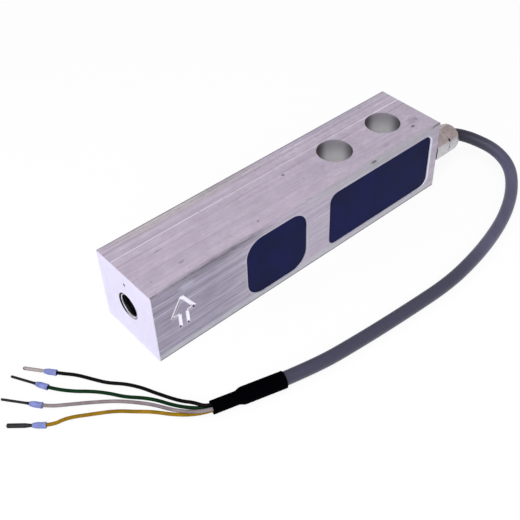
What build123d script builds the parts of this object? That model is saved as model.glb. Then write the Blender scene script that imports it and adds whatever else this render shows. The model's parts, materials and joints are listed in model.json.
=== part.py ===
"""Bending beam force sensor: a milled aluminium beam with potted pockets, a brass cable gland
and a four-wire lead with crimped ferrules.

Frame: X runs along the beam, from the tapped load end (-X) to the cable end (+X); -Y is the side
with the pockets of the electronics; Z is up. The origin is the centre of the beam's lower face.
"""

import os
from math import cos, pi, radians, sin, tan

from build123d import *

os.makedirs("parts", exist_ok=True)

# Beam, in millimetres
beam_length = 135.0
beam_width = 30.0
beam_height = 30.0
edge_break = 0.25
axis_height = beam_height / 2
load_face_x = -beam_length / 2
cable_face_x = beam_length / 2
front_face_y = -beam_width / 2

# Mounting holes, clearance for M12 screws, through from top to bottom
mount_hole_r = 6.75
mount_hole_end_distance = 16.0
mount_hole_spacing = 25.4
mount_hole_x = cable_face_x - mount_hole_end_distance

# Tapped load hole with its steel thread insert
insert_outer_r = 5.0
insert_bore_r = 4.25
insert_length = 20.0
insert_recess = 0.35
insert_chamfer_width = 0.45
insert_chamfer_length = 0.8
insert_mouth_chamfer = 0.15
load_hole_depth = 25.0
load_hole_countersink = 0.15
drill_point_angle = 59.0
dimple_r = 0.5
dimple_depth = 0.45
dimple_height = 25.0

# Pockets: both sides of the web that carries the gauges, and the one for the electronics
gauge_pocket_x = -15.4
gauge_pocket_length = 27.4
gauge_pocket_height = 25.4
gauge_pocket_corner_r = 7.0
web_thickness = 8.0
rear_wall = 4.7
electronics_pocket_length = 53.3
electronics_pocket_height = 24.0
electronics_pocket_depth = 6.5
electronics_pocket_corner_r = 3.6
potting_recess = 0.35
channel_r = 1.8
web_hole_r = 1.25
web_hole_from_pocket_end = 2.4

# Engraved load arrow on the front side, drawn as an open outline
arrow_x = -56.15
arrow_apex_z = 23.2
arrow_shoulder_z = 15.75
arrow_foot_z = 9.7
arrow_half_width = 4.6
arrow_stem_half_width = 1.5
arrow_line_width = 1.4
arrow_depth = 0.45
arrow_wall_angle = 45.0

# Strain gauges, solder tabs and their leads
gauge_length = 9.0
gauge_width = 6.5
gauge_thickness = 0.15
gauge_angle = 45.0
tab_length = 3.6
tab_height = 8.0
tab_thickness = 0.5
tab_from_pocket_end = 6.0
lead_width = 0.7
lead_thickness = 0.25
lead_pitch = 1.05
rear_lead_bulge = 2.2
lead_bend_r = 0.9

# Amplifier board
sheet_thickness = 0.3
board_thickness = 1.2
board_length = 40.0
board_height = 19.0
board_corner_r = 1.0
board_start_gap = 2.6
chip_size = 7.0
chip_thickness = 1.4
chip_edge = 0.2
resistor_length = 1.6
resistor_width = 0.8
resistor_thickness = 0.5
resistor_columns = 4
resistor_pitch = 3.4
resistor_row_distance = 5.6
capacitor_length = 2.0
capacitor_width = 1.2
capacitor_thickness = 1.1
capacitor_count = 3
capacitor_pitch = 4.6
capacitor_distance = 12.0
terminal_length = 4.0
terminal_height = 12.0
terminal_thickness = 2.6
terminal_setback = 0.5

# Cable gland, on the cable face and flush with the front side of the beam
gland_across_flats = 10.0
gland_y = front_face_y + gland_across_flats / 2
gland_thread_r = 4.0
thread_play = 0.05
gland_shank_length = 4.3
gasket_thickness = 0.5
gasket_outer_r = 4.9
gland_hex_length = 6.7
hex_chamfer = 0.4
hex_half_angle = 30.0
gland_neck_length = 4.3
gland_neck_r = 3.9
cap_gap = 0.3
cap_length = 6.7
cap_shoulder_r = 5.6
cap_dome_length = 3.6
cap_end_r = 3.6
cap_lip_thickness = 0.5
cap_mouth_r = 3.35
seal_r = 3.2
seal_length = 4.0
seal_protrusion = 0.6

# Lead: outer jacket, four cores, heat-shrink sleeve and ferrules
cable_r = 2.4
cable_play = 0.15
jacket_inside = 3.0
core_r = 0.65
core_offset_inside = 0.85
core_fan_pitch = 2.4
core_fan_length = 3.6
core_bend_r = 1.0
core_offset_jacket = 0.70
core_offset_sleeve = 0.68
sleeve_large_r = 2.95
sleeve_small_r = 2.25
sleeve_large_length = 14.6
sleeve_taper_length = 1.8
sleeve_length = 25.0
sleeve_play = 0.05
sleeve_bundle_r = 1.85
jacket_in_sleeve = 13.4
collar_r = 1.06
collar_nose_r = 0.75
collar_length = 4.3
collar_nose_length = 1.5
collar_socket_length = 2.6
collar_play = 0.05
pin_r = 0.55
pin_bore_r = 0.38
strand_reach = 0.25
collar_lift = 0.02

# Places worked out from the sizes above
ferrule_height = collar_r + collar_lift
web_face_y = -web_thickness / 2
gauge_pocket_end_x = gauge_pocket_x + gauge_pocket_length / 2
electronics_pocket_end_x = cable_face_x - rear_wall
electronics_pocket_start_x = electronics_pocket_end_x - electronics_pocket_length
electronics_pocket_x = electronics_pocket_end_x - electronics_pocket_length / 2
electronics_floor_y = front_face_y + electronics_pocket_depth
potting_face_y = front_face_y + potting_recess
board_start_x = electronics_pocket_start_x + board_start_gap
board_x = board_start_x + board_length / 2
board_end_x = board_start_x + board_length
terminal_face_x = board_end_x - terminal_setback
board_back_y = electronics_floor_y - sheet_thickness
board_face_y = board_back_y - board_thickness
lead_y = (board_back_y + board_face_y) / 2
tab_x = gauge_pocket_end_x - tab_from_pocket_end
tab_face_y = web_face_y - tab_thickness
web_hole_x = gauge_pocket_end_x - web_hole_from_pocket_end
cable_inner_x = electronics_pocket_end_x - jacket_inside
gasket_end_x = cable_face_x + gasket_thickness
gland_hex_end_x = gasket_end_x + gland_hex_length
gland_neck_end_x = gland_hex_end_x + gland_neck_length
cap_start_x = gland_hex_end_x + cap_gap
seal_end_x = gland_neck_end_x + seal_protrusion
seal_start_x = seal_end_x - seal_length
cable_exit = (seal_end_x, gland_y, axis_height)

# Route of the free cable: out of the gland, round in one bend to the floor, back beside the beam
cable_route = [
    cable_exit,
    (82.6, -10.0, 15.0),
    (85.5, -11.5, 14.7),
    (88.8, -16.3, 13.6),
    (91.9, -25.0, 11.0),
    (90.6, -34.0, 7.6),
    (83.4, -41.2, 4.3),
    (72.5, -46.9, 2.5),
    (59.5, -51.3, 2.4),
    (44.5, -54.6, 2.4),
    (28.0, -56.5, 2.4),
    (9.5, -55.7, 2.4),
    (-12.0, -54.2, 2.4),
]
sleeve_start = (-43.7, -49.5, 2.95)
sleeve_heading = 163.8

# Each wire: its place in the sleeve (sideways, upwards), its free points, and its ferrule's
# mouth, its heading seen from above and the bare length of its tube
wire_routes = {
    "black": (
        (1, 1),
        [(-71.4, -37.4, 3.3), (-74.0, -31.4, 2.1), (-76.4, -25.6, 1.0), (-78.6, -20.2, 0.7),
         (-81.8, -15.0, 0.65), (-85.3, -10.8, 0.65), (-87.6, -6.4, 0.65), (-91.6, -1.9, 0.7)],
        (-95.6, 3.4), 128.0, 7.1,
    ),
    "green": (
        (1, -1),
        [(-73.0, -37.3, 1.9), (-75.7, -32.0, 0.9), (-77.6, -27.6, 0.65), (-80.4, -23.7, 0.65),
         (-84.4, -19.4, 0.65), (-87.6, -14.7, 0.65), (-91.2, -10.5, 0.65), (-95.7, -6.6, 0.75)],
        (-100.8, 0.2), 119.0, 9.2,
    ),
    "white": (
        (-1, 1),
        [(-73.6, -38.8, 3.1), (-76.6, -33.9, 1.9), (-79.7, -27.8, 0.8), (-83.2, -23.1, 0.65),
         (-87.8, -18.6, 0.65), (-94.0, -13.3, 0.65), (-99.6, -10.2, 0.8)],
        (-105.8, -4.9), 128.0, 9.5,
    ),
    "yellow": (
        (-1, -1),
        [(-73.6, -39.5, 1.6), (-77.5, -34.9, 0.75), (-81.5, -30.2, 0.65), (-85.2, -26.3, 0.65),
         (-89.9, -22.0, 0.65), (-95.7, -17.9, 0.65), (-101.6, -15.0, 0.8)],
        (-108.8, -12.2), 139.0, 7.9,
    ),
}
sleeve_approach = 9.4
sleeve_corner_distance = 26.4
sleeve_middle_distance = 20.2
ferrule_approach = 3.6


def side_plane(y):
    """Plane square to Y at the height of the beam's axis, with X to the right and Z up."""
    return Plane(origin=(0, y, 0), x_dir=(1, 0, 0), z_dir=(0, -1, 0))


def end_plane(x, y=0.0):
    """Plane square to X, looking along it, centred on the beam's mid-height."""
    return Plane(origin=(x, y, axis_height), x_dir=(0, 1, 0), z_dir=(1, 0, 0))


def turned_plane(origin, axis):
    """Plane that holds a turned part's half outline: its X along the axis, its Y upwards."""
    along = Vector(*axis).normalized()
    return Plane(origin=origin, x_dir=along, z_dir=along.cross(Vector(0, 0, 1)))


def lead_plane(path):
    """Plane square to the start of a lead's path, with its X upwards."""
    return Plane(origin=path @ 0, x_dir=(0, 0, 1), z_dir=path % 0)


def corner_radii(points):
    """Arc radius at each corner: as large as the two runs beside it allow."""
    radii = []
    for before, corner, after in zip(points, points[1:], points[2:]):
        arriving = Vector(*corner) - Vector(*before)
        leaving = Vector(*after) - Vector(*corner)
        half_turn = radians(arriving.get_angle(leaving)) / 2
        radii.append(0.45 * min(arriving.length, leaving.length) / tan(half_turn))
    return radii


def report_route(points, path, solid, radius):
    """Print a cord's bend radii, its length, and its volume against section times length."""
    length = path.wires()[0].length
    ratio = solid.volume / (pi * radius**2 * length)
    print(solid.label, "bend radii", [round(r, 1) for r in corner_radii(points)])
    print(solid.label, "length", round(length, 1), "volume ratio", round(ratio, 4))


def on_sleeve(distance, sideways=0.0, upwards=0.0):
    """Point at a distance along the sleeve's axis, set off sideways and upwards."""
    turn = radians(sleeve_heading)
    return (
        sleeve_start[0] + distance * cos(turn) + sideways * sin(turn),
        sleeve_start[1] + distance * sin(turn) - sideways * cos(turn),
        sleeve_start[2] + upwards,
    )


def ferrule_point(mouth, heading, distance):
    """Point on a ferrule's axis at a distance from the mouth of its collar."""
    turn = radians(heading)
    return (mouth[0] + distance * cos(turn), mouth[1] + distance * sin(turn), ferrule_height)


def wire_points(name):
    """All points of a wire, from the end of the jacket to the socket of its ferrule."""
    (sideways, upwards), free, mouth, heading, _ = wire_routes[name]
    jacket = core_offset_jacket
    sleeve = core_offset_sleeve
    return [
        on_sleeve(jacket_in_sleeve, sideways * jacket, upwards * jacket),
        on_sleeve(sleeve_middle_distance, sideways * sleeve, upwards * sleeve),
        on_sleeve(sleeve_corner_distance, sideways * sleeve, upwards * sleeve),
        *free,
        ferrule_point(mouth, heading, -ferrule_approach),
        ferrule_point(mouth, heading, collar_socket_length),
    ]


# Strain gauges, one on each side of the web, turned to the shear direction
with BuildPart() as strain_gauges:
    for face_y, depth in ((web_face_y, gauge_thickness), (-web_face_y, -gauge_thickness)):
        with BuildSketch(side_plane(face_y)):
            with Locations((gauge_pocket_x, axis_height)):
                Rectangle(gauge_length, gauge_width, rotation=gauge_angle)
        extrude(amount=depth)
strain_gauges.part.label = "strain_gauges"
export_step(strain_gauges.part, "parts/strain_gauges.step")

# Solder tabs beside the gauges, one strip on each side of the web
with BuildPart() as solder_tabs:
    for face_y, depth in ((web_face_y, tab_thickness), (-web_face_y, -tab_thickness)):
        with BuildSketch(side_plane(face_y)):
            with Locations((tab_x, axis_height)):
                Rectangle(tab_length, tab_height)
        extrude(amount=depth)
solder_tabs.part.label = "solder_tabs"
export_step(solder_tabs.part, "parts/solder_tabs.step")

# Leads from the front tabs through the channel to the edge of the board
front_lead_x = tab_x - tab_length / 4
rear_lead_x = tab_x + tab_length / 4
with BuildPart() as gauge_leads:
    for number in (-1, 0, 1):
        lead_z = axis_height + number * lead_pitch
        with BuildLine() as lead_path:
            FilletPolyline(
                (front_lead_x, tab_face_y, lead_z),
                (front_lead_x, lead_y, lead_z),
                (board_start_x, lead_y, lead_z),
                radius=lead_bend_r,
            )
        with BuildSketch(lead_plane(lead_path.line)):
            Rectangle(lead_width, lead_thickness)
        sweep(path=lead_path.line)
gauge_leads.part.label = "gauge_leads"
export_step(gauge_leads.part, "parts/gauge_leads.step")

# Leads from the rear tabs through the web to the front tabs
rear_turn_y = -tab_face_y + rear_lead_bulge
front_turn_y = tab_face_y - rear_lead_bulge
with BuildPart() as rear_gauge_leads:
    for number in (-0.5, 0.5):
        lead_z = axis_height + number * lead_pitch
        with BuildLine() as lead_path:
            FilletPolyline(
                (rear_lead_x, -tab_face_y, lead_z),
                (rear_lead_x, rear_turn_y, lead_z),
                (web_hole_x, rear_turn_y, lead_z),
                (web_hole_x, front_turn_y, lead_z),
                (rear_lead_x, front_turn_y, lead_z),
                (rear_lead_x, tab_face_y, lead_z),
                radius=lead_bend_r,
            )
        with BuildSketch(lead_plane(lead_path.line)):
            Rectangle(lead_width, lead_thickness)
        sweep(path=lead_path.line)
rear_gauge_leads.part.label = "rear_gauge_leads"
export_step(rear_gauge_leads.part, "parts/rear_gauge_leads.step")

# Insulating sheet on the floor of the electronics pocket, under the board
with BuildPart() as insulating_sheet:
    with BuildSketch(side_plane(electronics_floor_y)):
        with Locations((board_x, axis_height)):
            Rectangle(board_length, board_height)
    extrude(amount=sheet_thickness)
insulating_sheet.part.label = "insulating_sheet"
export_step(insulating_sheet.part, "parts/insulating_sheet.step")

# Amplifier board
with BuildPart() as amplifier_board:
    with BuildSketch(side_plane(board_back_y)):
        with Locations((board_x, axis_height)):
            RectangleRounded(board_length, board_height, board_corner_r)
    extrude(amount=board_thickness)
amplifier_board.part.label = "amplifier_board"
export_step(amplifier_board.part, "parts/amplifier_board.step")

# Amplifier chip in the middle of the board
with BuildPart() as amplifier_chip:
    with BuildSketch(side_plane(board_face_y)):
        with Locations((board_x, axis_height)):
            Rectangle(chip_size, chip_size)
    extrude(amount=chip_thickness)
    chamfer(amplifier_chip.faces().sort_by(Axis.Y)[0].edges(), chip_edge)
amplifier_chip.part.label = "amplifier_chip"
export_step(amplifier_chip.part, "parts/amplifier_chip.step")

# Resistors: two small rows above and below the chip
with BuildPart() as resistors:
    with BuildSketch(side_plane(board_face_y)):
        with Locations((board_x, axis_height)):
            with GridLocations(resistor_pitch, 2 * resistor_row_distance, resistor_columns, 2):
                Rectangle(resistor_length, resistor_width)
    extrude(amount=resistor_thickness)
resistors.part.label = "resistors"
export_step(resistors.part, "parts/resistors.step")

# Capacitors: one column on the gauge side of the chip
with BuildPart() as capacitors:
    with BuildSketch(side_plane(board_face_y)):
        with Locations((board_x - capacitor_distance, axis_height)):
            with GridLocations(capacitor_length, capacitor_pitch, 1, capacitor_count):
                Rectangle(capacitor_length, capacitor_width)
    extrude(amount=capacitor_thickness)
capacitors.part.label = "capacitors"
export_step(capacitors.part, "parts/capacitors.step")

# Terminal block that takes the four cores of the cable
with BuildPart() as terminal_block:
    with BuildSketch(side_plane(board_face_y)):
        with Locations((terminal_face_x - terminal_length / 2, axis_height)):
            Rectangle(terminal_length, terminal_height)
    extrude(amount=terminal_thickness)
terminal_block.part.label = "terminal_block"
export_step(terminal_block.part, "parts/terminal_block.step")

# Held end of the cable, from the electronics pocket through the gland to its seal
with BuildPart() as cable_end:
    with BuildSketch(end_plane(cable_inner_x, gland_y)):
        Circle(cable_r)
    extrude(amount=cable_exit[0] - cable_inner_x)
cable_end.part.label = "cable_end"
export_step(cable_end.part, "parts/cable_end.step")

# Four cores inside the pocket, from the end of the jacket to the terminal block
core_y = board_face_y - terminal_thickness / 2
core_mid_x = (cable_inner_x + terminal_face_x) / 2
with BuildPart() as inner_cores:
    for sideways, upwards, place in ((-1, -1, -0.5), (1, -1, -1.5), (-1, 1, 0.5), (1, 1, 1.5)):
        start_y = gland_y + sideways * core_offset_inside
        start_z = axis_height + upwards * core_offset_inside
        end_z = axis_height + place * core_fan_pitch
        core_points = [
            (cable_inner_x, start_y, start_z),
            (core_mid_x + core_fan_length / 2, start_y, start_z),
            (core_mid_x - core_fan_length / 2, core_y, end_z),
            (terminal_face_x, core_y, end_z),
        ]
        with BuildLine() as core_path:
            FilletPolyline(*core_points, radius=core_bend_r)
        with BuildSketch(Plane(origin=core_path.line @ 0, z_dir=core_path.line % 0)):
            Circle(core_r)
        sweep(path=core_path.line)
inner_cores.part.label = "inner_cores"
export_step(inner_cores.part, "parts/inner_cores.step")

# Beam: one milled bar with its pockets, holes and engraved arrow
with BuildPart() as beam_body:
    with BuildSketch(end_plane(load_face_x)):
        Rectangle(beam_width, beam_height)
    extrude(amount=beam_length)
    chamfer(beam_body.edges(), edge_break)
    # mounting holes through the cable end
    with BuildSketch(Plane.XY):
        with Locations((mount_hole_x, 0), (mount_hole_x - mount_hole_spacing, 0)):
            Circle(mount_hole_r)
    extrude(amount=beam_height, mode=Mode.SUBTRACT)
    # gauge pockets from both sides, which leave the web between them
    for face_y, direction in ((front_face_y, -1), (-front_face_y, 1)):
        with BuildSketch(side_plane(face_y)):
            with Locations((gauge_pocket_x, axis_height)):
                RectangleRounded(gauge_pocket_length, gauge_pocket_height, gauge_pocket_corner_r)
        extrude(amount=direction * (beam_width - web_thickness) / 2, mode=Mode.SUBTRACT)
    # electronics pocket from the front side
    with BuildSketch(side_plane(front_face_y)):
        with Locations((electronics_pocket_x, axis_height)):
            RectangleRounded(
                electronics_pocket_length, electronics_pocket_height, electronics_pocket_corner_r
            )
    extrude(amount=-electronics_pocket_depth, mode=Mode.SUBTRACT)
    # channel for the gauge leads, from pocket to pocket
    with BuildSketch(Plane(origin=(gauge_pocket_end_x, lead_y, axis_height), z_dir=(1, 0, 0))):
        Circle(channel_r)
    extrude(amount=electronics_pocket_start_x - gauge_pocket_end_x, mode=Mode.SUBTRACT)
    # hole through the web for the rear leads
    with BuildSketch(side_plane(-web_face_y)):
        with Locations((web_hole_x, axis_height)):
            Circle(web_hole_r)
    extrude(amount=web_thickness, mode=Mode.SUBTRACT)
    # tapped seat of the gland, and the drilled way of the cable past it
    with BuildSketch(end_plane(cable_face_x, gland_y)):
        Circle(gland_thread_r + thread_play)
    extrude(amount=-rear_wall, mode=Mode.SUBTRACT)
    with BuildSketch(end_plane(cable_face_x, gland_y)):
        Circle(cable_r + cable_play)
    extrude(amount=-(cable_face_x - cable_inner_x), mode=Mode.SUBTRACT)
    # load hole with its drill point and countersink, seen as one turned outline
    with BuildSketch(turned_plane((load_face_x, 0, axis_height), (1, 0, 0))):
        with BuildLine():
            Polyline(
                (0, 0),
                (0, insert_outer_r + load_hole_countersink),
                (load_hole_countersink, insert_outer_r),
                (insert_recess + insert_length, insert_outer_r),
                (insert_recess + insert_length, insert_bore_r),
                (load_hole_depth, insert_bore_r),
                (load_hole_depth + insert_bore_r / tan(radians(drill_point_angle)), 0),
                close=True,
            )
        make_face()
    revolve(axis=Axis((load_face_x, 0, axis_height), (1, 0, 0)), mode=Mode.SUBTRACT)
    # centre-punch dimple above the load hole
    with BuildSketch(turned_plane((load_face_x, 0, dimple_height), (1, 0, 0))):
        with BuildLine():
            Polyline((0, 0), (0, dimple_r), (dimple_depth, 0), close=True)
        make_face()
    revolve(axis=Axis((load_face_x, 0, dimple_height), (1, 0, 0)), mode=Mode.SUBTRACT)
    # engraved arrow, each stroke with flat ends
    arrow_points = [
        (arrow_x - arrow_stem_half_width, arrow_foot_z),
        (arrow_x - arrow_stem_half_width, arrow_shoulder_z),
        (arrow_x - arrow_half_width, arrow_shoulder_z),
        (arrow_x, arrow_apex_z),
        (arrow_x + arrow_half_width, arrow_shoulder_z),
        (arrow_x + arrow_stem_half_width, arrow_shoulder_z),
        (arrow_x + arrow_stem_half_width, arrow_foot_z),
    ]
    for stroke_start, stroke_end in zip(arrow_points, arrow_points[1:]):
        with BuildSketch(side_plane(front_face_y)):
            with BuildLine():
                Line(stroke_start, stroke_end)
            trace(line_width=arrow_line_width)
        extrude(amount=-arrow_depth, taper=arrow_wall_angle, mode=Mode.SUBTRACT)
beam_body.part.label = "beam_body"
export_step(beam_body.part, "parts/beam_body.step")

# Steel thread insert of the load hole
insert_start_x = load_face_x + insert_recess
with BuildPart() as thread_insert:
    with BuildSketch(turned_plane((insert_start_x, 0, axis_height), (1, 0, 0))):
        with BuildLine():
            Polyline(
                (0, insert_bore_r + insert_mouth_chamfer),
                (0, insert_outer_r - insert_chamfer_width),
                (insert_chamfer_length, insert_outer_r),
                (insert_length, insert_outer_r),
                (insert_length, insert_bore_r),
                (insert_mouth_chamfer, insert_bore_r),
                close=True,
            )
        make_face()
    revolve(axis=Axis((insert_start_x, 0, axis_height), (1, 0, 0)))
thread_insert.part.label = "thread_insert"
export_step(thread_insert.part, "parts/thread_insert.step")

# Potting of the front gauge pocket, cast round the gauge, the tabs and the leads
with BuildPart() as gauge_potting_front:
    with BuildSketch(side_plane(web_face_y)):
        with Locations((gauge_pocket_x, axis_height)):
            RectangleRounded(gauge_pocket_length, gauge_pocket_height, gauge_pocket_corner_r)
    extrude(amount=web_face_y - potting_face_y)
    for inlaid in (strain_gauges, solder_tabs, gauge_leads, rear_gauge_leads):
        add(inlaid.part, mode=Mode.SUBTRACT)
gauge_potting_front.part.label = "gauge_potting_front"
export_step(gauge_potting_front.part, "parts/gauge_potting_front.step")

# Potting of the rear gauge pocket
with BuildPart() as gauge_potting_rear:
    with BuildSketch(side_plane(-web_face_y)):
        with Locations((gauge_pocket_x, axis_height)):
            RectangleRounded(gauge_pocket_length, gauge_pocket_height, gauge_pocket_corner_r)
    extrude(amount=potting_face_y - web_face_y)
    for inlaid in (strain_gauges, solder_tabs, rear_gauge_leads):
        add(inlaid.part, mode=Mode.SUBTRACT)
gauge_potting_rear.part.label = "gauge_potting_rear"
export_step(gauge_potting_rear.part, "parts/gauge_potting_rear.step")

# Potting of the electronics pocket, cast round the board and the end of the cable
board_pieces = (insulating_sheet, amplifier_board, amplifier_chip, resistors, capacitors)
with BuildPart() as electronics_potting:
    with BuildSketch(side_plane(electronics_floor_y)):
        with Locations((electronics_pocket_x, axis_height)):
            RectangleRounded(
                electronics_pocket_length, electronics_pocket_height, electronics_pocket_corner_r
            )
    extrude(amount=electronics_floor_y - potting_face_y)
    for inlaid in (*board_pieces, terminal_block, inner_cores, cable_end, gauge_leads):
        add(inlaid.part, mode=Mode.SUBTRACT)
electronics_potting.part.label = "electronics_potting"
export_step(electronics_potting.part, "parts/electronics_potting.step")

# Flat gasket between the gland and the beam
with BuildPart() as gland_gasket:
    with BuildSketch(end_plane(cable_face_x, gland_y)):
        Circle(gasket_outer_r)
        Circle(gland_thread_r + thread_play, mode=Mode.SUBTRACT)
    extrude(amount=gasket_thickness)
gland_gasket.part.label = "gland_gasket"
export_step(gland_gasket.part, "parts/gland_gasket.step")

# Gland body: threaded shank, hexagon with chamfered corners, threaded neck, seat of the seal
gland_axis = Axis((0, gland_y, axis_height), (1, 0, 0))
hex_corner_r = gland_across_flats / 2 / cos(radians(hex_half_angle))
shank_start_x = cable_face_x - gland_shank_length
with BuildPart() as gland_body:
    with BuildSketch(end_plane(gasket_end_x, gland_y)):
        RegularPolygon(gland_across_flats / 2, 6, major_radius=False, rotation=hex_half_angle)
    extrude(amount=gland_hex_length)
    with BuildSketch(turned_plane((gasket_end_x, gland_y, axis_height), (1, 0, 0))):
        with BuildLine():
            Polyline(
                (0, 0),
                (0, hex_corner_r - hex_chamfer),
                (hex_chamfer / 2, hex_corner_r),
                (gland_hex_length - hex_chamfer / 2, hex_corner_r),
                (gland_hex_length, hex_corner_r - hex_chamfer),
                (gland_hex_length, 0),
                close=True,
            )
        make_face()
    revolve(axis=gland_axis, mode=Mode.INTERSECT)
    with BuildSketch(end_plane(shank_start_x, gland_y)):
        Circle(gland_thread_r)
    extrude(amount=gasket_end_x - shank_start_x)
    with BuildSketch(end_plane(gland_hex_end_x, gland_y)):
        Circle(gland_neck_r)
    extrude(amount=gland_neck_length)
    with BuildSketch(end_plane(shank_start_x, gland_y)):
        Circle(cable_r + cable_play)
    extrude(amount=gland_neck_end_x - shank_start_x, mode=Mode.SUBTRACT)
    with BuildSketch(end_plane(seal_start_x, gland_y)):
        Circle(seal_r)
    extrude(amount=gland_neck_end_x - seal_start_x, mode=Mode.SUBTRACT)
gland_body.part.label = "gland_body"
export_step(gland_body.part, "parts/gland_body.step")

# Rubber seal that the cap presses round the cable
with BuildPart() as gland_seal:
    with BuildSketch(end_plane(seal_start_x, gland_y)):
        Circle(seal_r)
        Circle(cable_r, mode=Mode.SUBTRACT)
    extrude(amount=seal_length)
gland_seal.part.label = "gland_seal"
export_step(gland_seal.part, "parts/gland_seal.step")

# Gland cap: hexagon with a domed end, threaded bore, shoulder on the seal, flared mouth
cap_bore_length = seal_end_x - cap_start_x
cap_dome_start = cap_length - cap_dome_length
with BuildPart() as gland_cap:
    with BuildSketch(end_plane(cap_start_x, gland_y)):
        RegularPolygon(gland_across_flats / 2, 6, major_radius=False, rotation=hex_half_angle)
    extrude(amount=cap_length)
    with BuildSketch(turned_plane((cap_start_x, gland_y, axis_height), (1, 0, 0))):
        with BuildLine():
            Polyline(
                (cap_length, cap_end_r),
                (cap_length, 0),
                (0, 0),
                (0, cap_shoulder_r - hex_chamfer),
                (hex_chamfer / 2, cap_shoulder_r),
                (cap_dome_start, cap_shoulder_r),
            )
            TangentArc((cap_dome_start, cap_shoulder_r), (cap_length, cap_end_r), tangent=(1, 0))
        make_face()
    revolve(axis=gland_axis, mode=Mode.INTERSECT)
    with BuildSketch(turned_plane((cap_start_x, gland_y, axis_height), (1, 0, 0))):
        with BuildLine():
            Polyline(
                (0, 0),
                (0, gland_neck_r + thread_play),
                (cap_bore_length, gland_neck_r + thread_play),
                (cap_bore_length, cable_r + cable_play),
                (cap_bore_length + cap_lip_thickness, cable_r + cable_play),
                (cap_length, cap_mouth_r),
                (cap_length, 0),
                close=True,
            )
        make_face()
    revolve(axis=gland_axis, mode=Mode.SUBTRACT)
gland_cap.part.label = "gland_cap"
export_step(gland_cap.part, "parts/gland_cap.step")

# Free cable, from the gland's seal to the end of the jacket inside the sleeve
cable_points = [*cable_route, on_sleeve(-sleeve_approach), on_sleeve(jacket_in_sleeve)]
with BuildPart() as cable:
    with BuildLine() as cable_path:
        FilletPolyline(*cable_points, radius=corner_radii(cable_points))
    with BuildSketch(Plane(origin=cable_path.line @ 0, z_dir=cable_path.line % 0)):
        Circle(cable_r)
    sweep(path=cable_path.line)
cable.part.label = "cable"
export_step(cable.part, "parts/cable.step")
report_route(cable_points, cable_path.line, cable.part, cable_r)

# Heat-shrink sleeve: wide over the jacket, narrow over the four wires
sleeve_axis_direction = (cos(radians(sleeve_heading)), sin(radians(sleeve_heading)), 0)
with BuildPart() as shrink_sleeve:
    with BuildSketch(turned_plane(sleeve_start, sleeve_axis_direction)):
        with BuildLine():
            Polyline(
                (0, cable_r + sleeve_play),
                (0, sleeve_large_r),
                (sleeve_large_length, sleeve_large_r),
                (sleeve_large_length + sleeve_taper_length, sleeve_small_r),
                (sleeve_length, sleeve_small_r),
                (sleeve_length, sleeve_bundle_r),
                (sleeve_large_length + sleeve_taper_length, sleeve_bundle_r),
                (jacket_in_sleeve, cable_r + sleeve_play),
                close=True,
            )
        make_face()
    revolve(axis=Axis(sleeve_start, sleeve_axis_direction))
shrink_sleeve.part.label = "shrink_sleeve"
export_step(shrink_sleeve.part, "parts/shrink_sleeve.step")

# Wires with their ferrules: plastic collar, crimped tube and the strands inside it
for wire_name, (_, _, ferrule_mouth, ferrule_heading, pin_length) in wire_routes.items():
    points = wire_points(wire_name)
    with BuildPart() as wire:
        with BuildLine() as wire_path:
            FilletPolyline(*points, radius=corner_radii(points))
        with BuildSketch(Plane(origin=wire_path.line @ 0, z_dir=wire_path.line % 0)):
            Circle(core_r)
        sweep(path=wire_path.line)
    wire.part.label = f"wire_{wire_name}"
    export_step(wire.part, f"parts/wire_{wire_name}.step")
    report_route(points, wire_path.line, wire.part, core_r)

    heading = (cos(radians(ferrule_heading)), sin(radians(ferrule_heading)), 0)
    mouth = ferrule_point(ferrule_mouth, ferrule_heading, 0)
    ferrule_axis = Axis(mouth, heading)
    with BuildPart() as collar:
        with BuildSketch(turned_plane(mouth, heading)):
            with BuildLine():
                Polyline(
                    (0, core_r + collar_play),
                    (0, collar_r),
                    (collar_length - collar_nose_length, collar_r),
                    (collar_length, collar_nose_r),
                    (collar_length, pin_r),
                    (collar_socket_length, pin_r),
                    (collar_socket_length, core_r + collar_play),
                    close=True,
                )
            make_face()
        revolve(axis=ferrule_axis)
    collar.part.label = f"ferrule_collar_{wire_name}"
    export_step(collar.part, f"parts/ferrule_collar_{wire_name}.step")

    with BuildPart() as pin:
        with BuildSketch(turned_plane(mouth, heading)):
            with Locations((collar_socket_length, pin_bore_r)):
                Rectangle(
                    collar_length - collar_socket_length + pin_length,
                    pin_r - pin_bore_r,
                    align=(Align.MIN, Align.MIN),
                )
        revolve(axis=ferrule_axis)
    pin.part.label = f"ferrule_pin_{wire_name}"
    export_step(pin.part, f"parts/ferrule_pin_{wire_name}.step")

    with BuildPart() as strands:
        start = ferrule_point(ferrule_mouth, ferrule_heading, collar_socket_length)
        with BuildSketch(Plane(origin=start, z_dir=heading)):
            Circle(pin_bore_r)
        extrude(amount=collar_length - collar_socket_length + pin_length + strand_reach)
    strands.part.label = f"strands_{wire_name}"
    export_step(strands.part, f"parts/strands_{wire_name}.step")
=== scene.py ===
"""Bending beam force sensor on a white table: the finish of the drawn aluminium beam and its potted
pockets, the nickel plated gland, and the lead with its sleeve, four wires and crimped ferrules.

Everything is in metres, in the frame of the beam: X along it towards the cable, Z up, the origin in
the middle of its lower face.
"""

import json
from math import cos, radians, sin, tau

import bpy
import numpy as np
from mathutils import Matrix, Vector


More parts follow.
